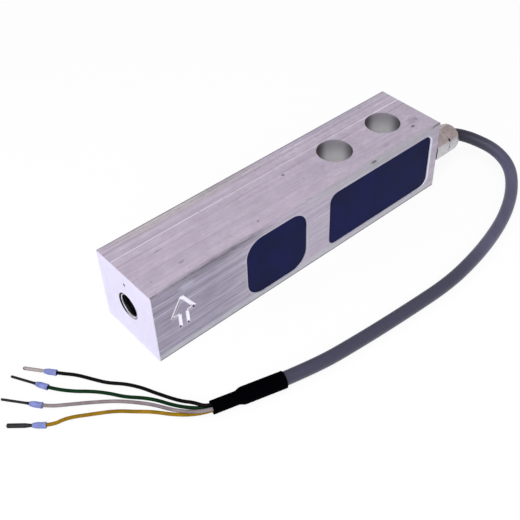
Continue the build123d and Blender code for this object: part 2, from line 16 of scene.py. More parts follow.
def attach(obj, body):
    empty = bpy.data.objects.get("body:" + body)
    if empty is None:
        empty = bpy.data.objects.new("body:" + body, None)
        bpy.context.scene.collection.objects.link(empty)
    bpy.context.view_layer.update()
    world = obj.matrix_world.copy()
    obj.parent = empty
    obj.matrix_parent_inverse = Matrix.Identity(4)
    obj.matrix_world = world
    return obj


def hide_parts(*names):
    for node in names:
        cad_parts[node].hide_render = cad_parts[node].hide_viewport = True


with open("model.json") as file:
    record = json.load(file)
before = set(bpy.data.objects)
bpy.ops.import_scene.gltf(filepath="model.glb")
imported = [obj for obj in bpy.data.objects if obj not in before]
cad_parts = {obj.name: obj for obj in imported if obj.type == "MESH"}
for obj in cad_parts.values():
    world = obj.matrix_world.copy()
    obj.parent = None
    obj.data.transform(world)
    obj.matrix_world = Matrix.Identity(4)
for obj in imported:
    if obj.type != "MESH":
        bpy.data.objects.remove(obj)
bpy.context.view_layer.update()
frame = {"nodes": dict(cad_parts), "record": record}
nodes = frame["nodes"]

MM = 0.001
WIRE_NAMES = ("black", "green", "white", "yellow")

# Camera of the photograph: the way it looks, its distance from the beam's origin and its lens
CAMERA_AZIMUTH = radians(-39.326)
CAMERA_ELEVATION = radians(43.998)
CAMERA_ROLL = radians(-2.395)
CAMERA_DISTANCE = 0.32045
CAMERA_SHIFT_RIGHT = -0.008351
CAMERA_SHIFT_UP = -0.005962
SENSOR_WIDTH_MM = 36.0
LENS_MM = 59.2

# Lead, in millimetres: radii, places along the sleeve's axis, and the points of the cable's route
CABLE_R = 2.4
WIRE_R = 0.59
SLEEVE_START = (-43.7, -49.5, 2.95)
SLEEVE_HEADING = radians(163.8)
JACKET_IN_SLEEVE = 13.4
SLEEVE_APPROACH = 9.4
SLEEVE_MIDDLE = 20.2
SLEEVE_CORNER = 26.4
WIRE_OFFSET_AT_JACKET = 0.70
WIRE_OFFSET_IN_SLEEVE = 0.68
BUNDLE_TURN = radians(20.0)
FERRULE_HEIGHT = 1.08
FERRULE_APPROACH = 1.9
COLLAR_SOCKET = 2.6
CABLE_ROUTE = [
    (79.6, -10.0, 15.0),
    (82.2, -10.0, 14.95),
    (85.2, -11.9, 14.2),
    (88.6, -16.9, 12.9),
    (91.8, -25.2, 10.7),
    (90.6, -34.0, 7.6),
    (83.4, -41.2, 4.3),
    (72.5, -46.9, 2.5),
    (59.5, -51.3, 2.4),
    (44.5, -54.6, 2.4),
    (28.0, -56.5, 2.4),
    (9.5, -55.7, 2.4),
    (-12.0, -54.2, 2.4),
]

# Each wire: its place in the sleeve (sideways, upwards), and its free points
WIRE_ROUTES = {
    "black": (
        (1, 1),
        [(-71.2, -37.9, 4.3), (-72.7, -32.7, 1.1), (-76.4, -25.3, 1.1), (-78.5, -19.8, 0.7),
         (-81.6, -14.9, 0.6), (-85.4, -11.0, 0.6), (-87.9, -6.9, 0.6), (-91.2, -1.3, 0.7)],
    ),
    "green": (
        (1, -1),
        [(-73.0, -37.3, 2.5), (-75.7, -32.0, 1.3), (-77.6, -27.3, 0.6), (-80.4, -23.5, 0.6),
         (-84.5, -19.3, 0.6), (-87.5, -14.6, 0.6), (-91.1, -10.3, 0.6), (-95.6, -6.4, 0.75)],
    ),
    "white": (
        (-1, 1),
        [(-73.6, -38.8, 2.4), (-76.6, -33.9, 1.3), (-79.6, -27.9, 0.7), (-83.2, -23.3, 0.6),
         (-87.7, -18.5, 0.6), (-94.1, -13.5, 0.6), (-99.4, -9.9, 0.75)],
    ),
    "yellow": (
        (-1, -1),
        [(-73.6, -39.5, 1.6), (-77.5, -34.9, 0.75), (-81.2, -30.0, 0.6), (-85.2, -26.3, 0.6),
         (-89.75, -21.8, 0.6), (-95.5, -18.15, 0.6), (-102.6, -13.8, 0.75)],
    ),
}
# Each wire's ferrule: its mouth, its heading, and the bare length of its tube
FERRULES = {
    "black": ((-95.6, 3.4), radians(128.0), 7.1),
    "green": ((-100.8, 0.2), radians(119.0), 9.2),
    "white": ((-105.8, -4.9), radians(128.0), 9.5),
    "yellow": ((-108.8, -12.2), radians(139.0), 7.9),
}


def metres(point):
    """A point in millimetres as one in metres."""
    return tuple(MM * value for value in point)


def on_sleeve(distance, sideways=0.0, upwards=0.0):
    """Point at a distance along the sleeve's axis, set off sideways and upwards."""
    ahead, aside = cos(SLEEVE_HEADING), sin(SLEEVE_HEADING)
    return (
        SLEEVE_START[0] + distance * ahead + sideways * aside,
        SLEEVE_START[1] + distance * aside - sideways * ahead,
        SLEEVE_START[2] + upwards,
    )


def level(heading):
    """Level direction with a heading."""
    return cos(heading), sin(heading), 0.0


def ferrule_point(name, distance):
    """Point on a ferrule's axis at a distance from the mouth of its collar."""
    mouth, heading, _ = FERRULES[name]
    return mouth[0] + distance * cos(heading), mouth[1] + distance * sin(heading), FERRULE_HEIGHT


def wire_points(name):
    """All points of a wire, from the end of the jacket to the socket of its ferrule."""
    (across, upright), free = WIRE_ROUTES[name]
    sideways = across * cos(BUNDLE_TURN) - upright * sin(BUNDLE_TURN)
    upwards = across * sin(BUNDLE_TURN) + upright * cos(BUNDLE_TURN)
    jacket, sleeve = WIRE_OFFSET_AT_JACKET, WIRE_OFFSET_IN_SLEEVE
    return [
        on_sleeve(JACKET_IN_SLEEVE, sideways * jacket, upwards * jacket),
        on_sleeve(SLEEVE_MIDDLE, sideways * sleeve, upwards * sleeve),
        on_sleeve(SLEEVE_CORNER, sideways * sleeve, upwards * sleeve),
        *free,
        ferrule_point(name, -FERRULE_APPROACH),
        ferrule_point(name, COLLAR_SOCKET),
    ]


# Camera


def scene_object(name, data):
    """Object with its data, in the scene."""
    made = bpy.data.objects.new(name, data)
    bpy.context.scene.collection.objects.link(made)
    return made


def make_camera():
    """Camera at the photograph's place: looking along minus `back`, the picture turned by the roll."""
    back = Vector((
        sin(CAMERA_AZIMUTH) * cos(CAMERA_ELEVATION),
        -cos(CAMERA_AZIMUTH) * cos(CAMERA_ELEVATION),
        sin(CAMERA_ELEVATION),
    ))
    sideways = Vector(level(CAMERA_AZIMUTH))
    upright = back.cross(sideways)
    right = cos(CAMERA_ROLL) * sideways + sin(CAMERA_ROLL) * upright
    up = cos(CAMERA_ROLL) * upright - sin(CAMERA_ROLL) * sideways
    camera = scene_object("camera", bpy.data.cameras.new("camera"))
    camera.data.sensor_width = SENSOR_WIDTH_MM
    camera.data.lens = LENS_MM
    camera.data.clip_start = 0.01
    place = back * CAMERA_DISTANCE + right * CAMERA_SHIFT_RIGHT + up * CAMERA_SHIFT_UP
    camera.matrix_world = Matrix((
        (right.x, up.x, back.x, place.x),
        (right.y, up.y, back.y, place.y),
        (right.z, up.z, back.z, place.z),
        (0, 0, 0, 1),
    ))
    bpy.context.scene.camera = camera


make_camera()

# Cords


def cord_curve(name, points, radius):
    """Round cord along a smooth NURBS line that has the route's points as its control points."""
    curve = bpy.data.curves.new(name, "CURVE")
    curve.dimensions = "3D"
    curve.resolution_u = 24
    curve.bevel_depth = radius * MM
    curve.bevel_resolution = 8
    curve.use_fill_caps = True
    spline = curve.splines.new("NURBS")
    spline.points.add(len(points) - 1)
    for target, point in zip(spline.points, points):
        target.co = (*metres(point), 1.0)
    spline.order_u = 3
    spline.use_endpoint_u = True
    return scene_object(name, curve)


cable_points = [*CABLE_ROUTE, on_sleeve(-SLEEVE_APPROACH), on_sleeve(JACKET_IN_SLEEVE)]
cable = cord_curve("lead_cable", cable_points, CABLE_R)
wires = {name: cord_curve(f"lead_wire_{name}", wire_points(name), WIRE_R) for name in WIRE_NAMES}

# Meshes from surfaces on a grid


def smooth_piece(name, points, faces, sharp_degrees):
    """Piece from points and faces, shaded smooth up to a sharp angle."""
    mesh = bpy.data.meshes.new(name)
    mesh.from_pydata(points, [], faces)
    mesh.validate()
    mesh.shade_smooth()
    mesh.set_sharp_from_angle(angle=radians(sharp_degrees))
    return scene_object(name, mesh)


def surface(name, points, sharp_degrees=35.0):
    """Closed mesh from points[i, j]: i runs round a closed outline, j round the axis, both wrap."""
    rows, columns = points.shape[:2]
    index = np.arange(rows * columns).reshape(rows, columns)
    after = np.roll(index, -1, axis=0)
    quads = np.stack([index, after, np.roll(after, -1, axis=1), np.roll(index, -1, axis=1)], axis=-1)
    return smooth_piece(name, points.reshape(-1, 3), quads.reshape(-1, 4), sharp_degrees)


def frame_along(direction):
    """Unit vectors along an axis, sideways of it and upwards of it."""
    along = np.array(direction, float)
    along /= np.linalg.norm(along)
    side = np.cross((0.0, 0.0, 1.0), along)
    side /= np.linalg.norm(side)
    return along, side, np.cross(along, side)


def ring_points(start, direction, distance, radius, turns):
    """Points of a turned ring, in metres: the start, plus a distance along the axis, plus a radius
    times the cosine of the turn sideways and its sine upwards. Distance and radius are arrays over
    (outline, turn), in millimetres, and the outline runs outside first, from the start."""
    along, side, up = frame_along(direction)
    reach = distance[..., None] * along
    swing = radius[..., None] * (np.cos(turns)[..., None] * side + np.sin(turns)[..., None] * up)
    return MM * (np.array(start, float) + reach + swing)


def smooth_step(value, low, high):
    """0 below low, 1 above high, and an S curve between."""
    share = np.clip((value - low) / (high - low), 0.0, 1.0)
    return share * share * (3.0 - 2.0 * share)


def dense_outline(corners, step):
    """Closed outline through the corners, with points about one step apart along each side."""
    corners = np.array(corners, float)
    sides = []
    for first, second in zip(corners, np.roll(corners, -1, axis=0)):
        count = max(1, int(np.ceil(np.linalg.norm(second - first) / step)))
        share = np.linspace(0.0, 1.0, count, endpoint=False)[:, None]
        sides.append(first + share * (second - first))
    return np.concatenate(sides)


def turned_piece(name, start, direction, corners, step, around, change):
    """Ring turned from an outline of (distance, radius) corners. `change` takes arrays of distance,
    radius and turn, and gives the radius that the real surface has there."""
    outline = dense_outline(corners, step)
    turns = np.linspace(0.0, tau, around, endpoint=False)
    distance = np.repeat(outline[:, :1], around, axis=1)
    radius = np.repeat(outline[:, 1:], around, axis=1)
    turns = np.broadcast_to(turns, distance.shape)
    radius = change(distance, radius, turns)
    return surface(name, ring_points(start, direction, distance, radius, turns))


# Sleeve and ferrules

SLEEVE_LARGE_R = 2.95
SLEEVE_SMALL_R = 2.25
SLEEVE_LARGE_LENGTH = 14.6
SLEEVE_TAPER = 1.8
SLEEVE_LENGTH = 25.0
SLEEVE_BUNDLE_R = 1.87
SLEEVE_LIP = 0.12


def shrunk(distance, radius, turns):
    """Sleeve's wall: four shallow lobes over the wires, growing past the taper, and faint creases."""
    outside = smooth_step(radius, 1.9, 2.2)
    narrow = smooth_step(distance, SLEEVE_LARGE_LENGTH - 0.6, SLEEVE_LARGE_LENGTH + 4.0)
    lobes = -0.05 * np.cos(4.0 * turns) * narrow
    creases = 0.018 * np.sin(3.1 * distance + 2.0 * np.sin(turns)) * np.cos(2.0 * turns + 0.4 * distance)
    return radius + outside * (lobes + creases - 0.02)


def make_sleeve():
    """Heat-shrink sleeve: wide over the jacket, an S-shaped step down, narrow over the wires."""
    along = np.linspace(SLEEVE_LIP, SLEEVE_LENGTH - SLEEVE_LIP, 72)
    taper_end = SLEEVE_LARGE_LENGTH + SLEEVE_TAPER
    drop = smooth_step(along, SLEEVE_LARGE_LENGTH - 0.3, taper_end + 0.3)
    outer = SLEEVE_LARGE_R - (SLEEVE_LARGE_R - SLEEVE_SMALL_R) * drop
    bore_start = CABLE_R + 0.05
    corners = [
        (0.0, SLEEVE_LARGE_R - SLEEVE_LIP),
        *zip(along, outer),
        (SLEEVE_LENGTH, SLEEVE_SMALL_R - SLEEVE_LIP),
        (SLEEVE_LENGTH, SLEEVE_BUNDLE_R),
        (taper_end, SLEEVE_BUNDLE_R),
        (JACKET_IN_SLEEVE, bore_start),
        (0.0, bore_start),
    ]
    return turned_piece("sleeve_shrunk", SLEEVE_START, level(SLEEVE_HEADING), corners, 0.4, 72, shrunk)


COLLAR_R = 1.06
COLLAR_NOSE_R = 0.75
COLLAR_LENGTH = 4.3
COLLAR_NOSE = 1.5
COLLAR_EDGE = 0.12
PIN_R = 0.55
PIN_BORE_R = 0.38
STRAND_REACH = 0.25
STRAND_COUNT = 7
STRAND_TWIST_LENGTH = 9.0
CRIMP_PITCH = 0.85
# How much wider each crimped tube is one way, the turn of its wide side about its axis, and how far
# from the collar it has reached its full width
PIN_FORM = {
    "black": (0.13, radians(135.0), 1.6),
    "green": (-0.05, 0.0, 1.6),
    "white": (-0.08, 0.0, 1.6),
    "yellow": (0.27, radians(135.0), 2.6),
}


def collar_form(distance, radius, turns):
    """Moulded collar: a faint waist behind its mouth rim, on the outer surface alone."""
    outer = smooth_step(radius, COLLAR_R - 0.2, COLLAR_R - 0.05)
    waist = smooth_step(distance, 0.35, 0.75) * (1.0 - smooth_step(distance, 2.4, 3.1))
    return radius - 0.05 * outer * waist


def ferrule_piece(kind, name, corners, step, around, change):
    """Piece turned round a ferrule's axis, from the mouth of its collar on."""
    heading = FERRULES[name][1]
    start = ferrule_point(name, 0)
    return turned_piece(f"{kind}_{name}", start, level(heading), corners, step, around, change)


def make_collar(name):
    """Plastic collar of a ferrule: a rim, a barrel, and a cone down to the tube."""
    bore = WIRE_R + 0.04
    cone_start = COLLAR_LENGTH - COLLAR_NOSE
    corners = [
        (0.0, COLLAR_R - COLLAR_EDGE),
        (COLLAR_EDGE, COLLAR_R),
        (cone_start - 0.2, COLLAR_R),
        (cone_start + 0.1, COLLAR_R - 0.06),
        (COLLAR_LENGTH - COLLAR_EDGE, COLLAR_NOSE_R + 0.03),
        (COLLAR_LENGTH, COLLAR_NOSE_R - 0.05),
        (COLLAR_LENGTH, PIN_R),
        (COLLAR_SOCKET, PIN_R),
        (COLLAR_SOCKET, bore),
        (0.3, bore),
        (0.0, bore + 0.18),
    ]
    return ferrule_piece("collar", name, corners, 0.2, 48, collar_form)


def crimped(flatness, roll, full):
    """Change of a crimped tube's wall: past the collar it goes from round to flat, wider by the
    flatness along its roll, with pressed ribs across it and a smooth tip."""
    def change(distance, radius, turns):
        reach = distance - COLLAR_LENGTH
        squeeze = smooth_step(reach, 0.2, full)
        outer = smooth_step(radius, PIN_BORE_R + 0.04, PIN_R - 0.04)
        along_roll = np.cos(turns - roll) ** 2
        ribs = 0.025 * np.maximum(np.cos(tau * distance / CRIMP_PITCH), -0.4) * (1.0 - along_roll) ** 2
        ribs *= 1.0 - smooth_step(reach, 5.2, 6.4)
        return radius + squeeze * outer * (flatness * along_roll - 0.05 + ribs)

    return change


def make_pin(name):
    """Crimped metal tube of a ferrule, from the collar's socket to its bare end."""
    end = COLLAR_LENGTH + FERRULES[name][2]
    corners = [
        (COLLAR_SOCKET, PIN_R - 0.02),
        (end - 0.08, PIN_R - 0.02),
        (end, PIN_R - 0.07),
        (end, PIN_BORE_R + 0.02),
        (COLLAR_SOCKET, PIN_BORE_R + 0.02),
    ]
    return ferrule_piece("pin", name, corners, 0.12, 40, crimped(*PIN_FORM[name]))


def make_strands(name):
    """Bare strands in a tube: one straight core strand and six more twisted round it. Each is a
    round rod whose middle goes round the axis once in a twist's length."""
    _, heading, bare = FERRULES[name]
    along, side, up = frame_along(level(heading))
    strand_r = PIN_BORE_R / 3.0 - 0.004
    length = COLLAR_LENGTH - COLLAR_SOCKET + bare + STRAND_REACH
    distance = np.linspace(0.0, length, 56)
    around = np.linspace(0.0, tau, 10, endpoint=False)
    start = np.array(ferrule_point(name, COLLAR_SOCKET))
    vertices, faces = [], []
    for number in range(STRAND_COUNT):
        swing = 0.0 if number == 0 else 2.0 * strand_r
        phase = tau * (number / (STRAND_COUNT - 1) + distance / STRAND_TWIST_LENGTH)
        centre = start + distance[:, None] * along
        centre = centre + swing * (np.cos(phase)[:, None] * side + np.sin(phase)[:, None] * up)
        shell = centre[:, None] + strand_r * (
            np.cos(around)[None, :, None] * side + np.sin(around)[None, :, None] * up
        )
        grid = np.arange(shell[..., 0].size).reshape(shell.shape[:2]) + len(vertices)
        turned = np.roll(grid, -1, axis=1)
        walls = np.stack([grid[:-1], grid[1:], turned[1:], turned[:-1]], axis=-1)
        faces += walls.reshape(-1, 4)[:, ::-1].tolist()
        faces += [grid[0].tolist(), grid[-1][::-1].tolist()]
        vertices += (MM * shell.reshape(-1, 3)).tolist()
    return smooth_piece(f"strand_bundle_{name}", vertices, faces, 50.0)


sleeve = make_sleeve()
collars = {name: make_collar(name) for name in WIRE_NAMES}
pins = {name: make_pin(name) for name in WIRE_NAMES}
strands = {name: make_strands(name) for name in WIRE_NAMES}

# Gland and thread insert

AXIS_HEIGHT = 15.0
GLAND_Y = -10.0
SHANK_START = 63.2
SHANK_R = 4.0
HEX_START = 68.0
HEX_END = 74.92
NECK_END = 79.0
NECK_R = 3.9
CABLE_BORE_R = 2.55
SEAL_START = 75.6
SEAL_END = 79.6
SEAL_R = 3.2
CAP_START = 74.95
CAP_END = 81.7
CAP_SHOULDER_R = 5.6
CAP_DOME = 3.6
CAP_END_R = 3.6
CAP_MOUTH_R = 3.35
# Hexagons: half the width over the flats, the rounding of the corners, the radius of the flat faces,
# and the cone that cuts the corners off: its radius at the face, and how fast it grows
HEX_HALF = 5.0
HEX_CORNER_ROUND = 0.06
HEX_CORNER_EASE = 0.05
HEX_FACE_R = 4.9
HEX_CONE_R = 5.42
HEX_CONE_GROWTH = 1.5
# Points of a hexagon's sides: how many round each side, the gap from a face to the first ones, and
# the reach into a cut corner, in shares that lie closer together at the face
HEX_SIDE_POINTS = 20
FACE_GAP = 0.04
CUT_SHARES = np.linspace(0, 1, 9) ** 1.5
BODY_CUT = 0.8
CAP_CUT = 0.7


def hexagon(turns):
    """Radius of a hexagon with flats at the sides: half its width over the cosine of the turn from
    the nearest flat, with corners eased by a soft minimum with a circle just inside them."""
    from_flat = np.mod(turns + tau / 12, tau / 6) - tau / 12
    sharp = HEX_HALF / np.cos(from_flat)
    corner = HEX_HALF / cos(tau / 12) - HEX_CORNER_ROUND
    eased = sharp + corner - np.sqrt((sharp - corner) ** 2 + HEX_CORNER_EASE**2)
    return 0.5 * eased + 0.1 * HEX_CORNER_EASE


def hex_turns():
    """Turns round a hexagon, closer together near its corners, and the same on each side."""
    share = np.linspace(-1.0, 1.0, HEX_SIDE_POINTS, endpoint=False)
    side = tau / 12 * (np.sin(share * tau / 4) * 0.45 + share * 0.55)
    return np.concatenate([side + number * tau / 6 for number in range(6)])


def nut_surface(name, start_x, outline, cone):
    """Hexagonal nut: a turned outline whose outer radius is the smaller of the hexagon and a cone or
    dome given over the distance. Outline rows are (x, radius, 1 if the row lies on the hexagon)."""
    rows = np.array(outline, float)
    turns = hex_turns()
    distance = np.repeat(rows[:, :1] - start_x, turns.size, axis=1)
    limit = cone(rows[:, :1])
    outer = np.minimum(hexagon(turns)[None, :], limit)
    radius = np.where(rows[:, 2:3] > 0.5, outer, rows[:, 1:2])
    turns = np.broadcast_to(turns, distance.shape)
    start = (start_x, GLAND_Y, AXIS_HEIGHT)
    return surface(name, ring_points(start, (1, 0, 0), distance, radius, turns), 40.0)


def make_gland_body():
    """Gland's body: shank, hexagon with cone-cut corners, neck, and the seat of the seal."""
    xs = np.concatenate([
        HEX_START + FACE_GAP + BODY_CUT * CUT_SHARES,
        np.linspace(HEX_START + 1.2, HEX_END - 1.2, 6),
        HEX_END - FACE_GAP - BODY_CUT * CUT_SHARES[::-1],
    ])

    def cone(x):
        into = np.minimum(x - HEX_START, HEX_END - x)
        return HEX_CONE_R + HEX_CONE_GROWTH * np.maximum(into, 0.0)

    rows = [
        (SHANK_START, SHANK_R - 0.3, 0),
        (SHANK_START + 0.3, SHANK_R, 0),
        (HEX_START, SHANK_R, 0),
        (HEX_START, HEX_FACE_R, 0),
        *((x, 0.0, 1) for x in xs),
        (HEX_END, HEX_FACE_R, 0),
        (HEX_END, NECK_R, 0),
        (NECK_END, NECK_R, 0),
        (NECK_END, SEAL_R, 0),
        (SEAL_START, SEAL_R, 0),
        (SEAL_START, CABLE_BORE_R, 0),
        (SHANK_START, CABLE_BORE_R, 0),
    ]
    return nut_surface("gland_lower", SHANK_START, rows, cone)


def make_gland_cap():
    """Gland's cap: a hexagon that a dome cuts down to a round end, with a flared mouth."""
    dome_start = CAP_END - CAP_DOME
    xs = np.concatenate([
        CAP_START + FACE_GAP + CAP_CUT * CUT_SHARES,
        np.linspace(CAP_START + 1.0, dome_start, 5),
        CAP_END - CAP_DOME * (1 - np.sin(np.linspace(0.05, 1, 18) * tau / 4)),
    ])
    xs = np.unique(np.round(np.clip(xs, CAP_START + FACE_GAP, CAP_END - 0.01), 4))

    def dome(x):
        start = HEX_CONE_R + HEX_CONE_GROWTH * np.maximum(x - CAP_START, 0.0)
        into = np.clip((x - dome_start) / CAP_DOME, 0.0, 1.0)
        fall = CAP_SHOULDER_R - (CAP_SHOULDER_R - CAP_END_R) * (1.0 - np.sqrt(1.0 - into**2 * 0.985))
        return np.minimum(start, fall)

    rows = [
        (CAP_START, HEX_FACE_R, 0),
        *((x, 0.0, 1) for x in xs),
        (CAP_END, CAP_MOUTH_R + 0.12, 0),
        (CAP_END - 0.12, CAP_MOUTH_R - 0.05, 0),
        (SEAL_END + 0.5, CABLE_BORE_R, 0),
        (SEAL_END, CABLE_BORE_R, 0),
        (SEAL_END, NECK_R + 0.05, 0),
        (CAP_START, NECK_R + 0.05, 0),
    ]
    return nut_surface("gland_dome", CAP_START, rows, dome)


INSERT_START = -67.15
INSERT_LENGTH = 20.0
INSERT_R = 5.0
INSERT_BORE_R = 4.25
INSERT_CHAMFER_WIDTH = 0.45
INSERT_CHAMFER_LENGTH = 0.8
INSERT_MOUTH_CHAMFER = 0.15
THREAD_PITCH = 1.5
THREAD_DEPTH = 0.55


def threaded(distance, radius, turns):
    """Inner thread: the bore grows by the thread's depth times a triangle wave of the distance over
    the pitch less the turn, and runs out at both ends."""
    bore = 1.0 - smooth_step(radius, INSERT_BORE_R + 0.02, INSERT_BORE_R + 0.1)
    phase = np.mod(distance / THREAD_PITCH - turns / tau, 1.0)
    wave = np.clip(1.25 - np.abs(phase - 0.5) * 3.6, 0.0, 1.0)
    run_out = 1.0 - smooth_step(distance, INSERT_LENGTH - 1.2, INSERT_LENGTH - 0.4)
    return radius + bore * smooth_step(distance, 0.35, 0.9) * run_out * wave * THREAD_DEPTH


def make_thread_insert():
    """Thread insert: a plain outer cylinder, chamfered ends, and a thread along its bore."""
    corners = [
        (0.0, INSERT_R - INSERT_CHAMFER_WIDTH),
        (INSERT_CHAMFER_LENGTH, INSERT_R - 0.01),
        (INSERT_LENGTH, INSERT_R - 0.01),
        (INSERT_LENGTH, INSERT_BORE_R),
        (INSERT_MOUTH_CHAMFER, INSERT_BORE_R),
        (0.0, INSERT_BORE_R + INSERT_MOUTH_CHAMFER),
    ]
    start = (INSERT_START, 0, AXIS_HEIGHT)
    return turned_piece("threaded_insert", start, (1, 0, 0), corners, 0.1, 96, threaded)


gland_lower = make_gland_body()
gland_dome = make_gland_cap()
threaded_insert = make_thread_insert()

# Shader tools


def set_inputs(node, inputs):
    """Link a node's named inputs to the sockets given, or set them to the plain values given."""
    for name, value in inputs.items():
        if isinstance(value, bpy.types.NodeSocket):
            node.id_data.links.new(value, node.inputs[name])
        else:
            node.inputs[name].default_value = value


def add_node(kind, inputs, **settings):
    """Add a node with its settings and inputs, to the tree that the sockets among these are in."""
    tree = next(value.id_data for value in inputs.values() if isinstance(value, bpy.types.NodeSocket))
    made = tree.nodes.new(kind)
    for name, value in settings.items():
        setattr(made, name, value)
    set_inputs(made, inputs)
    return made


def calc(operation, first, second=0.0):
    """One Math node's result."""
    return add_node("ShaderNodeMath", {0: first, 1: second}, operation=operation).outputs[0]


def vector_calc(operation, first, second=(0.0, 0.0, 0.0)):
    """One Vector Math node's outputs."""
    return add_node("ShaderNodeVectorMath", {0: first, 1: second}, operation=operation).outputs


def noise(place, scale, detail, roughness):
    """A noise's value, about 0.5 on average."""
    inputs = {"Vector": place, "Scale": scale, "Detail": detail, "Roughness": roughness}
    return add_node("ShaderNodeTexNoise", inputs).outputs["Fac"]


def fade(value, low, high):
    """Smooth ramp of a value: 0 at low, 1 at high, either way round."""
    inputs = {"Value": value, "From Min": low, "From Max": high}
    made = add_node("ShaderNodeMapRange", inputs, interpolation_type="SMOOTHSTEP")
    return made.outputs["Result"]


def between(value, low, high, soft):
    """1 between low and high, 0 outside, with soft borders."""
    rise = fade(value, low - soft, low + soft)
    fall = fade(value, high + soft, high - soft)
    return calc("MULTIPLY", rise, fall)


def span(value, low, high):
    """A value from 0 to 1 stretched to run from low to high."""
    inputs = {"Value": value, "To Min": low, "To Max": high}
    return add_node("ShaderNodeMapRange", inputs).outputs["Result"]


def product(first, *masks):
    """Several masks multiplied."""
    for mask in masks:
        first = calc("MULTIPLY", first, mask)
    return first


def largest(first, *masks):
    """The largest of several masks."""
    for mask in masks:
        first = calc("MAXIMUM", first, mask)
    return first


def inverse(mask):
    """One less a mask."""
    return calc("SUBTRACT", 1.0, mask)


def paint(factor, under, over):
    """Colour `over` laid on colour `under` by a factor."""
    return add_node("ShaderNodeMix", {0: factor, 6: under, 7: over}, data_type="RGBA").outputs[2]


def srgb(red, green, blue):
    """Colour as seen on a screen, 0 to 255, as the linear colour that shaders take."""
    share = np.array([red, green, blue]) / 255.0
    linear = np.where(share <= 0.04045, share / 12.92, ((share + 0.055) / 1.055) ** 2.4)
    return (*linear.tolist(), 1.0)


def tones(factor, dark, light):
    """Two screen colours mixed by a factor."""
    return paint(factor, srgb(*dark), srgb(*light))


class Coat:
    """Colour of a surface, painted over layer by layer."""

    def __init__(self, colour):
        self.colour = colour

    def lay(self, over, *masks):
        """Lay a screen colour, or a colour's socket, where all the masks are high."""
        if isinstance(over, tuple):
            over = srgb(*over)
        self.colour = paint(product(*masks), self.colour, over)


def effect(name, inputs, outputs):
    """Empty shader node group. An input's default is a number, or None where it takes a vector."""
    group = bpy.data.node_groups.new(name, "ShaderNodeTree")
    for label, value in inputs.items():
        kind = "NodeSocketVector" if value is None else "NodeSocketFloat"
        socket = group.interface.new_socket(label, in_out="INPUT", socket_type=kind)
        if value is not None:
            socket.default_value = value
    for label in outputs:
        group.interface.new_socket(label, in_out="OUTPUT", socket_type="NodeSocketFloat")
    return group, group.nodes.new("NodeGroupInput").outputs, group.nodes.new("NodeGroupOutput")


def use_effect(group, **inputs):
    """Place an effect in a material, with its own values, and give its outputs."""
    values = {name.replace("_", " ").title(): value for name, value in inputs.items()}
    return add_node("ShaderNodeGroup", values, node_tree=group).outputs


def make_tool_lines():
    """Lines that a tool or a die leaves: noise squeezed along one direction by a stretch vector.
    Gives fine lines, broad bands and a height."""
    group, source, result = effect(
        "tool lines", {"Place": None, "Stretch": None}, ["Fine", "Broad", "Height"]
    )
    place = vector_calc("MULTIPLY", source["Place"], source["Stretch"])[0]
    fine = noise(place, 4.2, 6.0, 0.62)
    broad = noise(place, 0.55, 3.0, 0.55)
    set_inputs(result, {
        "Fine": fade(fine, 0.32, 0.68),
        "Broad": fade(broad, 0.36, 0.64),
        "Height": calc("ADD", fine, calc("MULTIPLY", broad, 0.5)),
    })
    return group


def make_uneven_tone():
    """Uneven tone of a surface: soft noise, and a grain for its bump."""
    group, source, result = effect(
        "uneven tone", {"Place": None, "Patch Scale": 0.2, "Grain Scale": 6.0}, ["Patches", "Grain"]
    )
    patches = noise(source["Place"], source["Patch Scale"], 4.0, 0.6)
    grain = noise(source["Place"], source["Grain Scale"], 3.0, 0.7)
    set_inputs(result, {"Patches": fade(patches, 0.3, 0.7), "Grain": grain})
    return group


def make_specks():
    """Scattered specks or nicks: the cells of a Voronoi pattern nearer than a size to their centre,
    where the cell's own random value is above a limit."""
    group, source, result = effect(
        "specks", {"Place": None, "Density": 0.5, "Size": 0.15, "Rarity": 0.5}, ["Mask"]
    )
    inputs = {"Vector": source["Place"], "Scale": source["Density"]}
    cells = add_node("ShaderNodeTexVoronoi", inputs).outputs
    near = fade(cells["Distance"], source["Size"], 0.0)
    own_value = add_node("ShaderNodeSeparateColor", {"Color": cells["Color"]}).outputs[0]
    chosen = calc("GREATER_THAN", own_value, source["Rarity"])
    set_inputs(result, {"Mask": calc("MULTIPLY", near, chosen)})
    return group


def make_rounded_outline():
    """Distance outside a rectangle with round corners, negative inside. The corner radius is taken
    off the half sizes, the distance to that smaller rectangle is found, and the radius is taken
    off the distance."""
    group, source, result = effect(
        "rounded outline",
        {
            "Across": 0.0, "Upward": 0.0, "Centre Across": 0.0, "Centre Upward": 0.0,
            "Half Length": 1.0, "Half Height": 1.0, "Corner": 0.1,
        },
        ["Distance"],
    )
    past = []
    for axis, half in (("Across", "Half Length"), ("Upward", "Half Height")):
        offset = calc("SUBTRACT", source[axis], source[f"Centre {axis}"])
        inner = calc("SUBTRACT", source[half], source["Corner"])
        past.append(calc("SUBTRACT", calc("ABSOLUTE", offset), inner))
    squares = [calc("POWER", calc("MAXIMUM", value, 0.0), 2.0) for value in past]
    outside = calc("SQRT", calc("ADD", *squares))
    inside = calc("MINIMUM", calc("MAXIMUM", *past), 0.0)
    distance = calc("SUBTRACT", calc("ADD", outside, inside), source["Corner"])
    set_inputs(result, {"Distance": distance})
    return group


